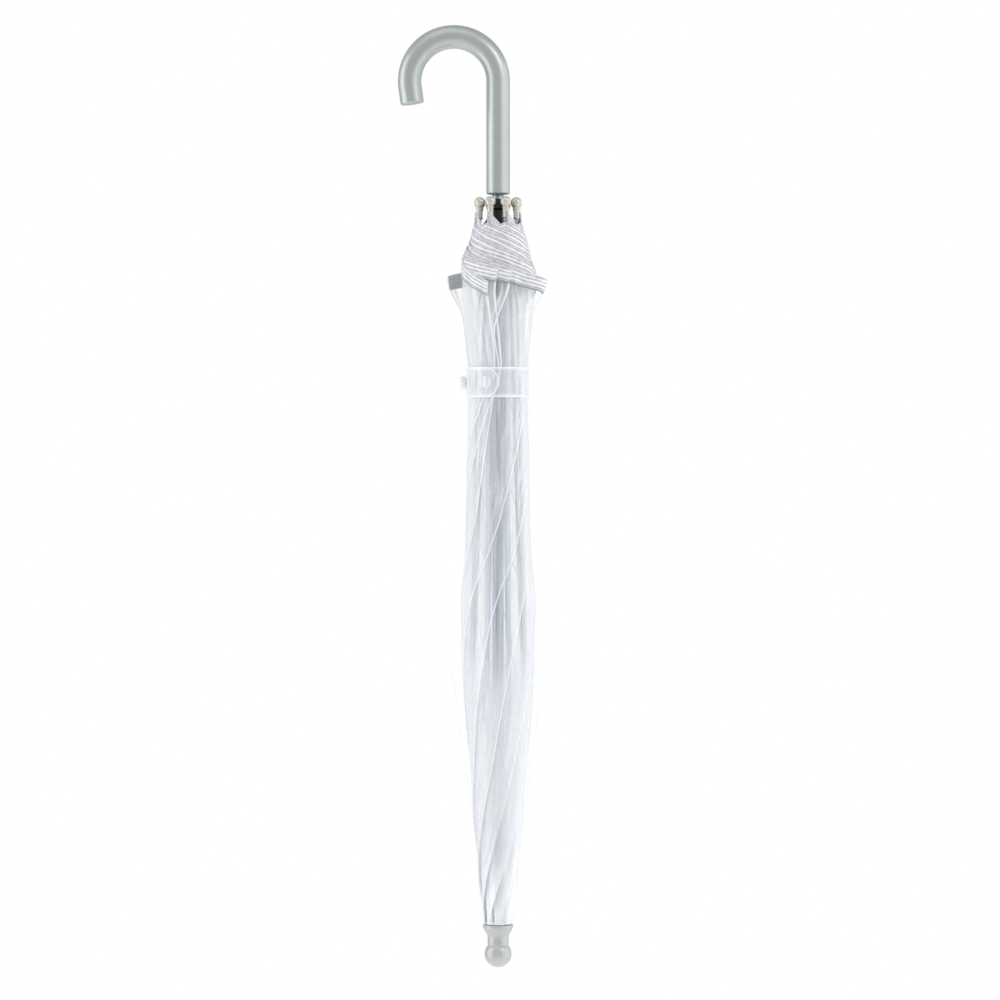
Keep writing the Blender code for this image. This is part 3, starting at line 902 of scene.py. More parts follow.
@dataclass
class Runner:
    """The black sleeve that slides on the shaft, with a slotted crown for the stretchers."""

    wardrobe: Wardrobe
    lines: RibLines
    bore: float = 4.3 * MM
    body: float = 6.2 * MM
    crown: tuple[float, float] = (520 * MM, 532 * MM)
    flange: float = 8.4 * MM
    flange_depth: float = 7.0 * MM
    flange_slope: float = 1.2 * MM
    foot_slope: float = 1.0 * MM
    slot: float = 2.0 * MM
    slot_floor: float = 7.0 * MM
    slot_reach: float = 14.0 * MM
    slot_margin: float = 2.0 * MM
    rounding: float = 0.5 * MM

    def profile(self) -> Array:
        """Draws the sleeve's outline, with its outer corners rounded.

        Returns:
            Rows of (radius, height), closed.
        """
        low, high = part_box("runner")
        r, edge = self.rounding, high.x
        foot, head = self.crown
        parts = [
            [[self.bore, low.z], [self.bore, high.z]],
            arc((self.flange - r, high.z - r), r, math.pi / 2, 0, 5),
            arc((self.flange - r, high.z - self.flange_depth + r), r, 0, -math.pi / 2, 5),
            [[self.body, high.z - self.flange_depth - self.flange_slope], [self.body, head]],
            arc((edge - r, head - r), r, math.pi / 2, 0, 5),
            arc((edge - r, foot + r), r, 0, -math.pi / 2, 5),
            [[self.body, foot - self.foot_slope], [self.body, low.z + r]],
            [[self.body - r, low.z], [self.bore, low.z]],
        ]
        return np.concatenate([np.array(part) for part in parts])

    def slots(self) -> bpy.types.Object:
        """Builds the eight slots, to be cut from the crown.

        Returns:
            One object of eight boxes.
        """
        corners = np.array([[x, y, z] for x in (self.slot_floor, self.slot_reach)
                            for y in (-self.slot / 2, self.slot / 2)
                            for z in (self.crown[0] - self.slot_margin, self.crown[1] + self.slot_margin)])
        box = np.array([[0, 1, 3, 2], [4, 6, 7, 5], [0, 4, 5, 1], [2, 3, 7, 6], [0, 2, 6, 4], [1, 5, 7, 3]])
        turns = [axis_turn(np.zeros(3), (0, 0, 1), self.lines.azimuth(k + 1)) for k in range(RIBS)]
        points = np.concatenate([apply(turn, corners) for turn in turns])
        faces = np.concatenate([box + 8 * k for k in range(RIBS)])
        return seal(mesh_object("runner_slots", points, faces))

    def build(self) -> bpy.types.Object:
        """Builds the runner.

        Returns:
            The runner.
        """
        made = cut(lathe("runner_sleeve", self.profile()), self.slots())
        self.wardrobe.dress(made, Finish.BLACK_ACETAL)
        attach(made, "runner")
        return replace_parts(made, "runner")


@dataclass
class BallTips:
    """The eight ball tips: a ball with a collar and a flared sleeve over the rib's end."""

    wardrobe: Wardrobe
    lines: RibLines
    sleeve: float = 2.2 * MM
    sleeve_end: float = -4.0 * MM
    pin: float = 1.4 * MM
    pin_end: float = 4.8 * MM

    def profile(self) -> Array:
        """Draws the tip's outline, from the top of its ball down.

        Returns:
            Rows of (radius, distance past the rib's end).
        """
        ball, lift = self.lines.tip_ball, self.lines.tip_ball_lift
        waist = math.acos((self.sleeve + 0.15 * MM) / ball)
        globe = arc((0, lift), ball, math.pi / 2, -waist, 30)
        globe[0] = [0, lift + ball]
        collar = arc((self.sleeve, 3.1 * MM), 0.55 * MM, 0.4 * math.pi, -0.4 * math.pi, 8)
        lip = [[self.sleeve, 0.5 * MM], [self.sleeve, -2.2 * MM], [self.sleeve + 0.15 * MM, -3.2 * MM],
               [self.sleeve + 0.4 * MM, self.sleeve_end], [self.pin, self.sleeve_end],
               [self.pin, self.pin_end], [0, self.pin_end]]
        return np.concatenate([globe, collar, np.array(lip)])

    def build(self) -> list[bpy.types.Object]:
        """Builds the tips, each on its rib.

        Returns:
            The eight tips.
        """
        made = []
        lean = math.atan2(self.lines.tip[0] - self.lines.knee[0], self.lines.tip[1] - self.lines.knee[1])
        for number in range(1, RIBS + 1):
            turn = axis_turn(np.zeros(3), (0, 0, 1), self.lines.azimuth(number))
            place = np.eye(4)
            place[:3, 3] = [self.lines.tip[0], 0, self.lines.tip[1]]
            place = turn @ place @ axis_turn(np.zeros(3), (0, 1, 0), lean)
            tip = lathe(f"ball_tip_{number}", self.profile(), 40, place)
            self.wardrobe.dress(tip, Finish.PEARL)
            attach(tip, f"rib_outer_{number}")
            made.append(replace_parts(tip, f"rib_tip_{number}"))
        return made


# ---------------------------------------------------------------- the canopy


def ribbon_section(
    width: float, near: tuple[float, ...], lean: tuple[float, ...]
) -> tuple[Array, Array, Array]:
    """Draws the section of a ribbon folded over an edge: one face to the edge, then the same back.

    Args:
        width: the width of a face.
        near: the distances from the edge of the points on the outer face, the farthest first.
        lean: how far each of those points stands from the film, as a share of the lift.

    Returns:
        Columns with a row for each point: the distance from the edge, the share of the lift, which is
        negative on the inner face, and the way across the ribbon in millimetres.
    """
    out, up = np.array(near), np.array(lean, float)
    below = np.concatenate([out, out[::-1]])[:, None]
    side = np.concatenate([up, -up[::-1]])[:, None]
    across = np.concatenate([width - out, width + out[::-1]])[:, None] / MM
    return below, side, across


@dataclass
class FurledGores:
    """The furled canopy: eight folded leaves of clear film, wound round the ribs, with their hem bindings.

    A gore leaves its rib, goes round the bundle to its fold and comes back to the next rib. All the leaves
    wind the same way on one spiral, so each lies on the next, and only its last stretch before the fold is
    seen.

    The outline is (height, radius) in millimetres. The tuples of eight have a value for each leaf: how far
    its fold has settled round the bundle, how far its hem swings on, how much lower its fold's hem hangs, how
    far its hem dives at the fold, and how far its loose corner stands out, in degrees and in millimetres.
    Each of the pleat_highlights is a painted highlight line beside the fold, given as its share of the way
    back from the fold and its waves along the leaf, in radians per millimetre.
    """

    wardrobe: Wardrobe
    lines: RibLines
    outline: tuple[tuple[float, float], ...] = (
        (31.0, 10.8), (45, 12.4), (70, 15.0), (100, 17.5), (142, 20.5), (186, 24.3), (212, 26.2),
        (250, 27.4), (272, 26.7), (294, 24.8), (318, 23.4), (350, 22.8), (405, 21.6), (433, 21.4),
        (448, 23.2), (468, 25.8), (490, 28.3), (512, 28.6), (528, 26.0), (542, 22.0),
    )
    start: float = 31.4 * MM
    hem: float = 541.5 * MM
    hem_drop: float = 46 * MM
    corner_lift: float = 3.5 * MM
    corner_dip: float = 3.5 * MM
    clearance: float = 1.9 * MM
    binding_width: float = 10.5 * MM
    settle_deg: tuple[float, ...] = (-8.0, 6.0, -4.0, 9.0, -2.0, 42.0, 8.0, -45.0)
    swing_deg: tuple[float, ...] = (0.0, 0.0, 0.0, 0.0, 0.0, 0.0, 0.0, 28.0)
    droop: tuple[float, ...] = (-0.5, -1.5, 1.0, 0.0, -4.0, -8.0, -8.0, -7.0)
    dive: tuple[float, ...] = (0.0, 3.0, 0.0, 2.0, 0.0, 10.0, 0.0, 0.0)
    flare: tuple[float, ...] = (8.5, 3.0, 4.0, 2.0, 8.5, 1.0, 0.4, 0.6)
    settle_span: tuple[float, float] = (300 * MM, 455 * MM)
    swing_span: tuple[float, float] = (455 * MM, 492 * MM)
    flare_span: tuple[float, float] = (468 * MM, 494 * MM)
    fullness: float = 0.93
    tuck: float = 0.42
    fold_gap: float = 0.0012
    pleat_highlights: tuple[tuple[float, float], ...] = ((0.033, 0.062), (0.062, 0.045), (0.115, 0.071))
    ribbon_lift: float = 0.26 * MM
    half_hem_mm: float = 140.0
    columns: int = 92
    rows: int = 120

    def outer(self, height: Array) -> Array:
        """Returns the bundle's outside radius at a height."""
        return soft_curve(np.array(self.outline) * MM, height)

    def inner(self, height: Array) -> Array:
        """Returns the radius at which the film leaves the ribs."""
        return np.minimum(self.lines.radius(height) + self.clearance, self.outer(height) - 0.4 * MM)

    def half_width(self, height: Array) -> Array:
        """Returns half of a gore's width at a height: half the side of the open dome's octagon there."""
        return self.lines.opened_radius(height) * math.sin(PITCH / 2)

    def wrap(self, height: Array) -> Array:
        """Returns the angle from rib to fold: half the gore's width round the bundle, and half a pitch."""
        middle = (self.inner(height) + self.outer(height)) / 2
        return self.fullness * self.half_width(height) / middle + PITCH / 2

    def ripple(self, azimuth: Array, height: Array) -> Array:
        """Gives the wrinkles' height: three waves whose crests follow the folds, under one slow swell.

        Args:
            azimuth: the azimuth round the shaft.
            height: the height.

        Returns:
            How far the film stands out.
        """
        bend = azimuth - self.wrap(height)
        swell = 0.6 + 0.4 * np.sin(height / MM * 0.061 + 2 * azimuth)
        waves = 0.20 * np.sin(11 * bend + 1.0) + 0.13 * np.sin(24 * bend + height / MM * 0.05)
        waves = waves + 0.07 * np.sin(43 * bend + 0.4)
        fade = smoothstep(height, 34 * MM, 90 * MM) * (1 - 0.6 * smoothstep(height, 500 * MM, 540 * MM))
        return MM * swell * waves * fade

    def path(self) -> tuple[Array, Array, Array]:
        """Gives the way across a leaf, with its columns closest together near the fold.

        Returns:
            For each column: its share of the way from rib to fold, whether it lies on the inner layer (1) or
            the outer one (0), and how close it is to the fold, from 0 to 1.
        """
        even = np.linspace(0, 1, self.columns)
        share = 1 - (1 - even) ** 1.5
        out_and_back = np.concatenate([share, [1.0], share[::-1]])
        layer = np.concatenate([np.zeros(self.columns), [0.5], np.ones(self.columns)])
        return out_and_back, layer, np.exp(-((1 - out_and_back) / 0.008) ** 2)

    def hem_height(self, number: int, share: Array) -> Array:
        """Returns the height of a leaf's hem.

        It falls in a straight line from the rib's tip towards the fold, and some leaves dive over the last
        fifth. At the tip the stitched corner stands up, and the hem sags just beside it.

        Args:
            number: the leaf's rib.
            share: the share of the way from the rib to the fold.

        Returns:
            The heights.
        """
        corner = self.corner_lift * np.exp(-(share / 0.018) ** 2)
        sag = self.corner_dip * np.exp(-((share - 0.07) / 0.026) ** 2)
        dive = self.dive[number - 1] * MM * np.clip((share - 0.8) / 0.2, 0, 1)
        return self.hem - (self.hem_drop + self.droop[number - 1] * MM) * share - dive + corner - sag

    def surface(self, number: int, share: Array, layer: Array, height: Array, lift: Array) -> Array:
        """Places points of a leaf.

        The azimuth runs from the rib to the fold, and on the inner layer from the next rib to the fold. The
        radius grows in proportion from the inner to the outer one, so the eight leaves wind on one spiral;
        the inner layer lies under the outer one by a little under half the step from leaf to leaf.

        Args:
            number: the leaf's rib.
            share: the share of the way from the rib to the fold.
            layer: 0 on the outer layer, 1 on the inner one.
            height: the height.
            lift: a further distance outwards.

        Returns:
            The points.
        """
        settle, swing = math.radians(self.settle_deg[number - 1]), math.radians(self.swing_deg[number - 1])
        fold = self.wrap(height) + settle * smoothstep(height, *self.settle_span)
        fold = fold + swing * smoothstep(height, *self.swing_span)
        turn = np.where(layer > 0.75, PITCH + share * (fold - PITCH), share * fold)
        turn = turn + np.where(np.abs(layer - 0.5) < 0.25, self.fold_gap, 0.0)
        inner, outer = self.inner(height), self.outer(height)
        step = (outer - inner) * PITCH / np.maximum(fold, PITCH)
        radius = inner + (outer - inner) * np.clip(turn / np.maximum(fold, PITCH), 0, 1)
        radius = radius - self.tuck * layer * step
        azimuth = self.lines.azimuth(number) + turn
        corner = smoothstep(turn, 0, 1) * smoothstep(turn - fold, -0.7, 0)
        corner = corner * smoothstep(height, *self.flare_span)
        radius = radius + self.flare[number - 1] * MM * corner
        return polar(radius + self.ripple(azimuth, height) + lift, azimuth, height)

    def leaf(self, number: int) -> bpy.types.Object:
        """Builds one folded leaf of film, from the notch to its hem.

        It is painted white along its fold, a little where it leaves the rib, and on three pleat lines that
        come and
        go beside the fold: painted highlights for the light the creased film catches. It clings near the
        notch, where the layers are pressed together.

        Args:
            number: the leaf's rib.

        Returns:
            The leaf.
        """
        share, layer, near_fold = self.path()
        down = np.linspace(0, 1, self.rows)[:, None]
        height = self.start + down * (self.hem_height(number, share)[None, :] - self.start)
        share, layer = np.broadcast_to(share, height.shape), np.broadcast_to(layer, height.shape)
        points = self.surface(number, share, layer, height, np.zeros_like(height))
        # painted highlight: white along the fold, beside the rib and on the pleat lines
        crease_and_highlight = near_fold[None, :] * smoothstep(height, 60 * MM, 140 * MM)
        crease_and_highlight = np.maximum(crease_and_highlight, 0.25 * np.exp(-(share / 0.012) ** 2))
        for place, wave in self.pleat_highlights:
            pleat_highlight = np.exp(-((1 - share - place) / 0.007) ** 2) * smoothstep(height, 0.25, 0.36)
            crease_and_highlight = np.maximum(crease_and_highlight, 0.5 * pleat_highlight * np.sin(height / MM * wave + 2.4 * number) ** 4)
        cling = 2.6 - smoothstep(height, 150 * MM, 250 * MM) - 1.6 * smoothstep(height, 40 * MM, 90 * MM)
        made = mesh_object(f"furled_leaf_{number}", points, grid_faces(*height.shape),
                           values={"crease_and_highlight": crease_and_highlight, "cling": cling})
        return self.wardrobe.dress(made, Finish.FILM)

    def binding(self, number: int) -> bpy.types.Object:
        """Builds the ribbon folded over one leaf's hem: down the outside, round the edge and up the inside.

        Args:
            number: the leaf's rib.

        Returns:
            The ribbon.
        """
        share, layer, _ = self.path()
        width = self.binding_width
        near = (width, width * 0.8, width * 0.5, width * 0.2, 0.5 * MM, 0.1 * MM)
        below, side, across = ribbon_section(width, near, (0.5, 1, 1, 1, 0.9, 0.4))
        wave = 0.5 * MM * np.sin(share * 31 + number) * share * (1 - share)
        height = (self.hem_height(number, share) + wave)[None, :] - below + 0.5 * MM
        share, layer = np.broadcast_to(share, height.shape), np.broadcast_to(layer, height.shape)
        points = self.surface(number, share, layer, height, self.ribbon_lift * side)
        uv = np.stack([share * self.half_hem_mm, np.broadcast_to(across, share.shape)], axis=-1)
        made = mesh_object(f"furled_binding_{number}", points, grid_faces(*height.shape), uv=uv)
        return self.wardrobe.dress(made, Finish.BINDING)

    def build(self) -> dict[int, tuple[bpy.types.Object, bpy.types.Object]]:
        """Builds the leaves and their bindings and hangs them on the stick.

        Returns:
            The leaf and the binding of each gore.
        """
        made = {}
        for number in range(1, RIBS + 1):
            pair = self.leaf(number), self.binding(number)
            for piece in pair:
                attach(piece, "stick")
                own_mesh(piece)
            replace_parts(pair[0], f"gore_crown_{number}", f"gore_skirt_{number}")
            made[number] = pair
        return made


@dataclass
class DomePanels:
    """The opened canopy: in each gore a flat crown panel and a flat skirt panel, taut between two ribs.

    A panel is drawn as it lies open, as straight chords from rib to rib, and each point is then turned back
    about the gore's fan hinge by its share of the way across, which lays it between the furled ribs.
    """

    wardrobe: Wardrobe
    lines: RibLines
    notch_stand_off: float = 1.4 * MM
    stand_off: float = 2.5 * MM
    tip_stand_off: float = 3.1 * MM
    hem_share: float = 0.15
    binding_width: float = 10.5 * MM
    ribbon_lift: float = 0.35 * MM
    ribbon_columns: int = 49
    hem_mm: float = 285.0
    edge_crease: float = 0.45
    edge_width: float = 2.5 * MM
    crown_rows: int = 31
    skirt_rows: int = 49
    columns: int = 25

    def outward(self, number: int, start: Array, end: Array, lean: float = 0.0) -> Array:
        """Gives the direction square to a furled rib's line, away from the shaft.

        Args:
            number: the rib.
            start: the line's start as (radius, height).
            end: its end.
            lean: a further tilt, in radians.

        Returns:
            A unit direction.
        """
        way = end - start
        tilt = math.atan2(way[0], way[1]) + lean
        azimuth = self.lines.azimuth(number)
        flat = math.cos(tilt)
        return np.array([flat * math.cos(azimuth), flat * math.sin(azimuth), -math.sin(tilt)])

    def corners(self, number: int) -> tuple[Array, Array, Array]:
        """Works out where the film meets an open rib.

        Args:
            number: the rib; past the last it goes on round.

        Returns:
            The points at the notch, at the knee and at the tip.
        """
        n, k, t = self.lines.notch, self.lines.knee, self.lines.tip
        rig, own = self.lines.rig, (number - 1) % RIBS + 1
        inner, outer = rig.opened(f"rib_inner_{own}"), rig.opened(f"rib_outer_{own}")
        half_flex = rig.angle(f"rib_outer_{own}") / 2
        first = self.lines.world(own, n) + self.notch_stand_off * self.outward(own, n, k)
        bend = self.lines.world(own, k) + self.stand_off * self.outward(own, k, t, half_flex)
        last = self.lines.world(own, t) + self.tip_stand_off * self.outward(own, k, t)
        return apply(inner, first), apply(outer, bend), apply(outer, last)

    def hem_end(self, across: Array) -> Array:
        """Returns the share of the rib at which the hem lies: it is scooped in towards the gore's middle."""
        return 1 - self.hem_share * (1 - np.abs(2 * across - 1) ** 1.7)

    def furl(self, opened: Array, rib: str, gore: str, across: Array) -> Array:
        """Turns opened points back to where they lie furled.

        Args:
            opened: the points, open.
            rib: the body that the near edge follows.
            gore: the body that the far edge follows.
            across: each point's share of the way from near to far.

        Returns:
            The points, furled.
        """
        rig = self.lines.rig
        seen = apply(np.linalg.inv(rig.opened(rib)), opened)
        return turn_many(seen, rig.pivot(gore), rig.axis(gore), -across * rig.angle(gore))

    def chords(
        self, near: tuple[Array, Array], far: tuple[Array, Array], down: Array, across: Array
    ) -> Array:
        """Places points on the straight chords between two lines.

        Across is a share of the angle between the lines, so the share of the chord is half of one more than
        the ratio of the tangents of the angle from the middle and of the half angle.

        Args:
            near: the ends of the near line.
            far: the ends of the far line.
            down: the share of the way along the lines.
            across: the share of the angle between them.

        Returns:
            The points.
        """
        ways = [(line[1] - line[0]) / np.linalg.norm(line[1] - line[0]) for line in (near, far)]
        angle = math.acos(float(ways[0] @ ways[1]))
        share = 0.5 * (1 + np.tan((across - 0.5) * angle) / math.tan(angle / 2))[..., None]
        down = down[..., None]
        a = near[0] + (near[1] - near[0]) * down
        b = far[0] + (far[1] - far[0]) * down
        return a + (b - a) * share

    def follow(self, made: bpy.types.Object) -> None:
        """Bakes a piece's placement into its mesh."""
        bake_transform(made)

    def panel(self, number: int, skirt: bool) -> bpy.types.Object:
        """Builds one panel of a gore, with a faint weld along both ribs.

        Args:
            number: the gore.
            skirt: whether it is the skirt panel, below the knees, or the crown panel above them.

        Returns:
            The panel.
        """
        label, rows = ("skirt", self.skirt_rows) if skirt else ("crown", self.crown_rows)
        rib, gore = f"rib_{'outer' if skirt else 'inner'}_{number}", f"gore_{label}_{number}"
        near, far = self.corners(number), self.corners(number + 1)
        first = 1 if skirt else 0
        across = np.broadcast_to(np.linspace(0, 1, self.columns), (rows, self.columns))
        down = np.linspace(0, 1, rows)[:, None] * (self.hem_end(across) if skirt else np.ones_like(across))
        opened = self.chords(near[first:first + 2], far[first:first + 2], down, across)
        edge = np.minimum(across, 1 - across) * np.linalg.norm(opened[:, -1] - opened[:, 0], axis=-1)[:, None]
        crease_and_highlight = self.edge_crease * np.exp(-(edge / self.edge_width) ** 2)
        made = mesh_object(f"{label}_panel_{number}", self.furl(opened, rib, gore, across),
                           grid_faces(rows, self.columns)[:, ::-1], values={"crease_and_highlight": crease_and_highlight})
        self.wardrobe.dress(made, Finish.PANEL_FILM)
        self.follow(made)
        return made

    def binding(self, number: int) -> bpy.types.Object:
        """Builds the ribbon over one gore's hem as it lies open.

        Args:
            number: the gore.

        Returns:
            The ribbon.
        """
        rib, gore = f"rib_outer_{number}", f"gore_skirt_{number}"
        near, far = self.corners(number)[1:], self.corners(number + 1)[1:]
        length = float(np.linalg.norm(near[1] - near[0]))
        width = self.binding_width
        face = (width, width * 0.8, width * 0.5, 2 * MM, 0.4 * MM, 0)
        below, side, ribbon = ribbon_section(width, face, (0.6, 1, 1, 1, 0.9, 0.4))
        across = np.broadcast_to(np.linspace(0, 1, self.ribbon_columns), (len(below), self.ribbon_columns))
        down = self.hem_end(across) + (0.5 * MM - below) / length
        points = self.chords(near, far, down, across)
        normal = np.cross(far[1] - near[1], near[1] - near[0])
        points = points + self.ribbon_lift * side[..., None] * normal / np.linalg.norm(normal)
        uv = np.stack([across * self.hem_mm, np.broadcast_to(ribbon, across.shape)], axis=-1)
        made = mesh_object(f"dome_binding_{number}", self.furl(points, rib, gore, across),
                           grid_faces(*across.shape), uv=uv)
        self.wardrobe.dress(made, Finish.BINDING)
        self.follow(made)
        return made

    def build(self) -> dict[int, list[bpy.types.Object]]:
        """Builds the panels and bindings.

        Returns:
            The crown panel, the skirt panel and the binding of each gore.
        """
        return {k: [self.panel(k, False), self.panel(k, True), self.binding(k)] for k in range(1, RIBS + 1)}


def declare_canopy(lines: RibLines, furled: FurledGores) -> None:
    """Works out a gore's flat width at the knee and at the hem from the opened frame, and leaves them unused.

    A gore is widest at the hem, where it is the side of the dome's octagon, and as long as the rib. Its cut
    is a triangle to the knee and a trapezium to the hem, less the triangle that the hem's scoop takes out.

    Args:
        lines: the ribs' lines.
        furled: the furled canopy's sizes.
    """
    middle, wide = (2 * float(furled.half_width(np.array(p[1]))) for p in (lines.knee, lines.tip))


# ---------------------------------------------------------------- the strap


@dataclass
class ClosingStrap:
    """The strap of clear film round the furled canopy: a band, a tab with a round end, a snap and a rivet."""

    wardrobe: Wardrobe
    lines: RibLines
    band_radius: float = 22.4 * MM
    tab_radius: float = 23.4 * MM
    thickness: float = 0.6 * MM
    band_from_deg: float = -130.0
    band_sweep_deg: float = 308.0
    tab_from_deg: float = 183.0
    tab_sweep_deg: float = 89.0
    snap_deg: float = -111.0
    lift: float = 4.6 * MM
    steps: int = 90
    sides: int = 40

    def strip(
        self, name: str, radius: float, start: float, sweep: float, round_end: bool
    ) -> bpy.types.Object:
        """Builds a closed strip bent round the shaft.

        Its height is full along its length, and at a round end it follows a half circle. Its section is a
        flat oval: the cosine of the way round it gives the height and the sine gives the thickness.

        Args:
            name: the piece's name.
            radius: its outside radius.
            start: the azimuth of its first end, in degrees.
            sweep: the angle it covers, in degrees.
            round_end: whether its last end is round.

        Returns:
            The strip.
        """
        low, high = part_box("strap_band")[0].z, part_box("strap_band")[1].z
        half, middle = (high - low) / 2, (high + low) / 2
        even = np.linspace(0, 1, self.steps)
        share = 1 - (1 - even) ** 1.7 if round_end else even
        left = radius * math.radians(sweep) * (1 - share)
        turned = np.clip(1 - left / half, 0, 1) if round_end else np.zeros_like(left)
        wide = half * np.sqrt(1 - turned**2)
        around = np.arange(self.sides) * 2 * math.pi / self.sides
        flat = np.sign(np.cos(around)) * np.abs(np.cos(around)) ** 0.6
        height = middle + wide[:, None] * flat[None, :]
        depth = radius - self.thickness / 2 + self.thickness / 2 * np.sin(around)[None, :]
        azimuth = math.radians(start) + math.radians(sweep) * share[:, None]
        points = polar(depth, azimuth, height)
        ends = [np.broadcast_to(points[k].mean(0), points[k].shape) for k in (0, -1)]
        points = np.concatenate([ends[:1], points, ends[1:]])
        rim = np.abs(flat)[None, :] ** 9 + np.exp(-(left[:, None] / (0.9 * MM)) ** 2) * float(round_end)
        crease_and_highlight = np.clip(np.concatenate([rim[:1], rim, rim[-1:]]), 0, 1)
        faces = grid_faces(len(points), self.sides, wrap=True)
        made = mesh_object(name, points, faces, values={"crease_and_highlight": crease_and_highlight})
        return self.wardrobe.dress(seal(made), Finish.STRAP_FILM)

    def button(self, name: str, azimuth_deg: float, radius: float, profile: Array) -> bpy.types.Object:
        """Builds a round button that faces out of the strap, at the middle of its height.

        Args:
            name: the piece's name.
            azimuth_deg: where it sits, in degrees.
            radius: the distance of its foot from the axis.
            profile: rows of (radius, height above the foot).

        Returns:
            The button.
        """
        low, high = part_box("strap_band")[0].z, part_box("strap_band")[1].z
        place = np.eye(4)
        place[:3, :3] = np.array([[0, 0, 1], [0, 1, 0], [-1, 0, 0]], float)
        place[:3, 3] = [radius, 0, (low + high) / 2]
        turn = axis_turn(np.zeros(3), (0, 0, 1), math.radians(azimuth_deg))
        return lathe(name, profile, 48, turn @ place)

    def panel_normal(self) -> Array:
        """Works out the direction that is square to the strap's gore once the umbrella is open.

        Returns:
            The unit direction, as it stands at rest.
        """
        rig = self.lines.rig
        panels = DomePanels(self.wardrobe, self.lines)
        near, far = panels.corners(4), panels.corners(5)
        normal = np.cross(far[1] - near[1], near[2] - near[1])
        return rig.opened("gore_skirt_4")[:3, :3].T @ (normal / np.linalg.norm(normal))

    def build(self) -> list[bpy.types.Object]:
        """Builds the strap and hangs its band and rivet on the gore and its tab and snap on the tab.

        Returns:
            The band, the tab, the snap and the rivet.
        """
        band = self.strip("strap_loop", self.band_radius, self.band_from_deg, self.band_sweep_deg, False)
        tab = self.strip("strap_end", self.tab_radius, self.tab_from_deg, self.tab_sweep_deg, True)
        dome = np.concatenate([[[0, 1.35]], [[1.2, 1.3]], [[1.5, 0.8]], [[2.6, 0.75]],
                               arc((3.7, 0.75), 0.5, math.pi / 2, 0, 5), [[4.2, 0.1]], [[0, 0.1]]]) * MM
        snap = self.button("strap_button", self.snap_deg, self.tab_radius, dome)
        stud = np.concatenate([[[0, 5.0]], arc((3.0, 3.2), 1.8, math.pi / 2, 0, 9), [[4.8, 1.2]],
                               [[3.0, 0.8]], [[3.0, 0.1]], [[0, 0.1]]]) * MM
        rivet = self.button("strap_rivet", 180.0, self.band_radius + 0.1 * MM, stud)
        self.wardrobe.dress(snap, Finish.CLEAR_SNAP)
        self.wardrobe.dress(rivet, Finish.SNAP)
        normal = self.panel_normal()
        anchor = self.lines.world(5, self.lines.tip) + self.lift * normal
        bodies = ((band, "gore_skirt_4"), (rivet, "gore_skirt_4"), (tab, "strap_tab"), (snap, "strap_tab"))
        for piece, body in bodies:
            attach(piece, body)
            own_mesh(piece)
        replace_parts(band, "strap_band")
        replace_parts(tab, "strap_tab")
        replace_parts(snap, "strap_snap")
        return [band, tab, snap, rivet]


# ---------------------------------------------------------------- the stage


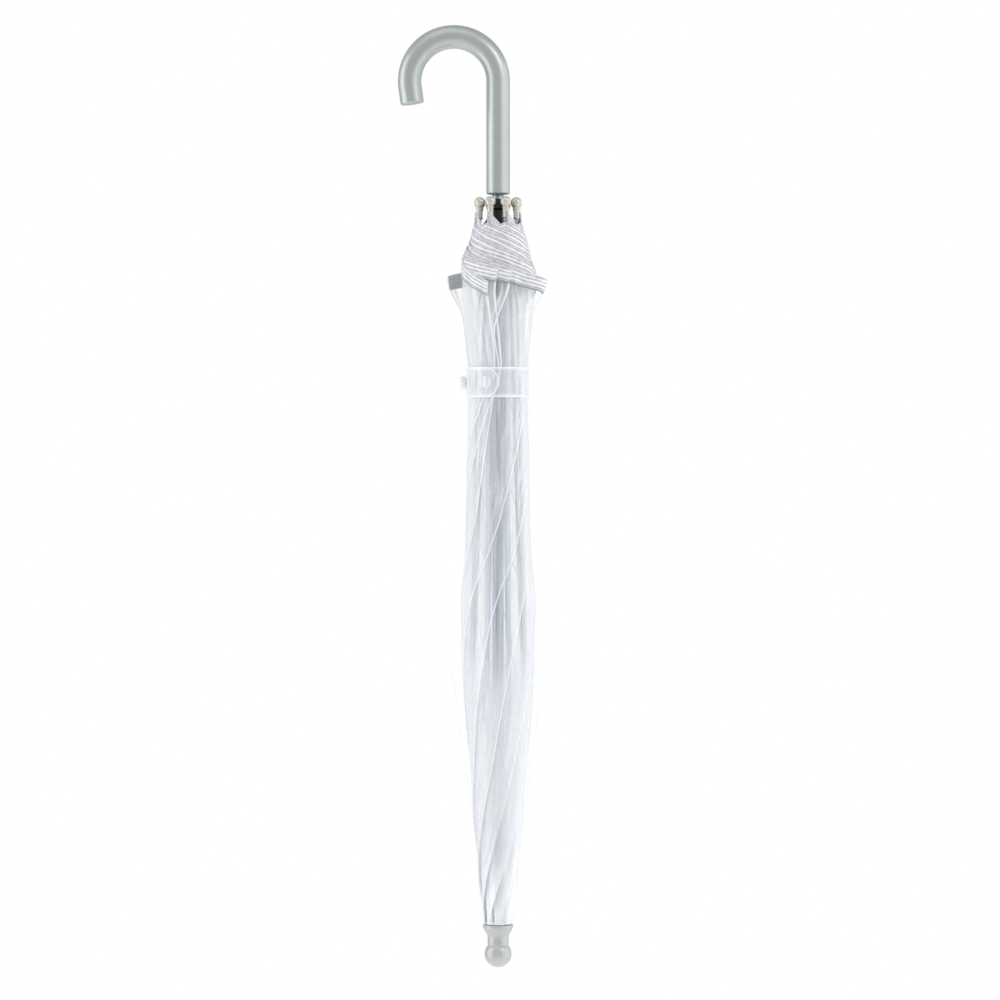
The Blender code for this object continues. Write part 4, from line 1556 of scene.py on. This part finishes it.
@dataclass
class Studio:
    """The floor, the light and the camera."""

    distance: float = 2.36
    view_height: float = 0.3376
    view_side: float = 0.0014
    shown_width: float = 0.7234
    sensor_mm: float = 36.0
    floor_height: float = -1.8
    floor_radius: float = 4.6
    floor_glow: float = 0.42
    room_glow: float = 0.62

    def camera(self) -> None:
        """Sets a level camera in front of the umbrella, at the middle of its height."""
        data = bpy.data.cameras.new("camera")
        data.sensor_width = self.sensor_mm
        data.lens = self.sensor_mm * self.distance / self.shown_width
        made = bpy.data.objects.new("camera", data)
        made.location = (self.view_side, -self.distance, self.view_height)
        made.rotation_euler = (math.pi / 2, 0, 0)
        bpy.context.scene.collection.objects.link(made)
        bpy.context.scene.camera = made

    def lamp(
        self, name: str, side_deg: float, up: float, away: float, size: tuple[float, float], power: float
    ) -> None:
        """Adds a soft box that faces the umbrella.

        Args:
            name: the lamp's name.
            side_deg: how far round from the camera it stands, positive to the right.
            up: its height above the view's middle.
            away: its distance from the shaft.
            size: its width and height.
            power: its power in watts.
        """
        data = bpy.data.lights.new(name, "AREA")
        data.shape = "RECTANGLE"
        data.size, data.size_y = size
        data.energy = power
        made = bpy.data.objects.new(name, data)
        side = math.radians(side_deg)
        made.location = (away * math.sin(side), -away * math.cos(side), self.view_height + up)
        made.rotation_euler = (math.atan2(away, up), 0, side)
        bpy.context.scene.collection.objects.link(made)

    def room(self) -> None:
        """Sets a white room that is greyer than it looks where it lights the umbrella."""
        world = bpy.data.worlds.new("room")
        bpy.context.scene.world = world
        world.use_nodes = True
        tree = world.node_tree
        tree.nodes.clear()
        seen = add_node(tree, "ShaderNodeBackground", {"Color": (1, 1, 1, 1), "Strength": 1.0})
        lit = add_node(tree, "ShaderNodeBackground", {"Color": (0.97, 0.985, 1, 1),
                                                      "Strength": self.room_glow})
        path = add_node(tree, "ShaderNodeLightPath")
        mix = add_node(tree, "ShaderNodeMixShader", {0: path.outputs["Is Camera Ray"], 1: lit.outputs[0],
                                                     2: seen.outputs[0]})
        add_node(tree, "ShaderNodeOutputWorld", {"Surface": mix.outputs[0]})

    def floor(self) -> None:
        """Lays a round pale floor well below the hanging umbrella."""
        ring = arc((0, 0), self.floor_radius, 0, 2 * math.pi, 97)[:-1]
        points = np.concatenate([ring, np.full((len(ring), 1), self.floor_height)], axis=1)
        made = mesh_object("floor", points, np.arange(len(ring))[None, :])
        paint, _, shader = empty_material("pale_floor")
        shader.inputs["Base Color"].default_value = linear("#FAFAFA")
        shader.inputs["Roughness"].default_value = 0.8
        shader.inputs["Emission Color"].default_value = (1, 1, 1, 1)
        shader.inputs["Emission Strength"].default_value = self.floor_glow
        made.data.materials.append(paint)

    def build(self) -> None:
        """Sets the whole stage."""
        self.camera()
        self.room()
        self.floor()
        self.lamp("key_box", -78, 0.1, 1.6, (1.3, 2.4), 14)
        self.lamp("fill_box", 80, 0.1, 1.9, (3.4, 2.6), 23)
        self.lamp("top_box", -20, 1.9, 0.9, (1.8, 1.6), 5)
        self.lamp("crook_box", 46, 1.45, 1.9, (1.0, 0.8), 7)
        bpy.context.scene.view_settings.view_transform = "Standard"
        bpy.context.scene.cycles.transparent_max_bounces = 96


def main() -> None:
    """Builds the umbrella piece by piece and reports each."""
    logging.basicConfig(level=logging.INFO, format="%(name)s: %(message)s")
    record = frame["record"]
    rig = Rig(frame["joints"], record["behaviour"]["couplings"], "runner_slide")
    lines = RibLines(rig)
    wardrobe = Wardrobe()
    Studio().build()
    stem = Stem(wardrobe)
    stem.dress_nodes()
    hard = [CrookHandle(wardrobe).build(), Ferrule(wardrobe).build(), stem.build()]
    hard += [Runner(wardrobe, lines).build(), *BallTips(wardrobe, lines).build()]
    furled = FurledGores(wardrobe, lines)
    leaves = furled.build()
    panels = DomePanels(wardrobe, lines).build()
    declare_canopy(lines, furled)
    strap = ClosingStrap(wardrobe, lines).build()
    for piece in [*hard, *(p for pair in leaves.values() for p in pair), *sum(panels.values(), []), *strap]:
        log.info("%s: %d faces", piece.name, len(piece.data.polygons))


if __name__ == "__main__":
    main()
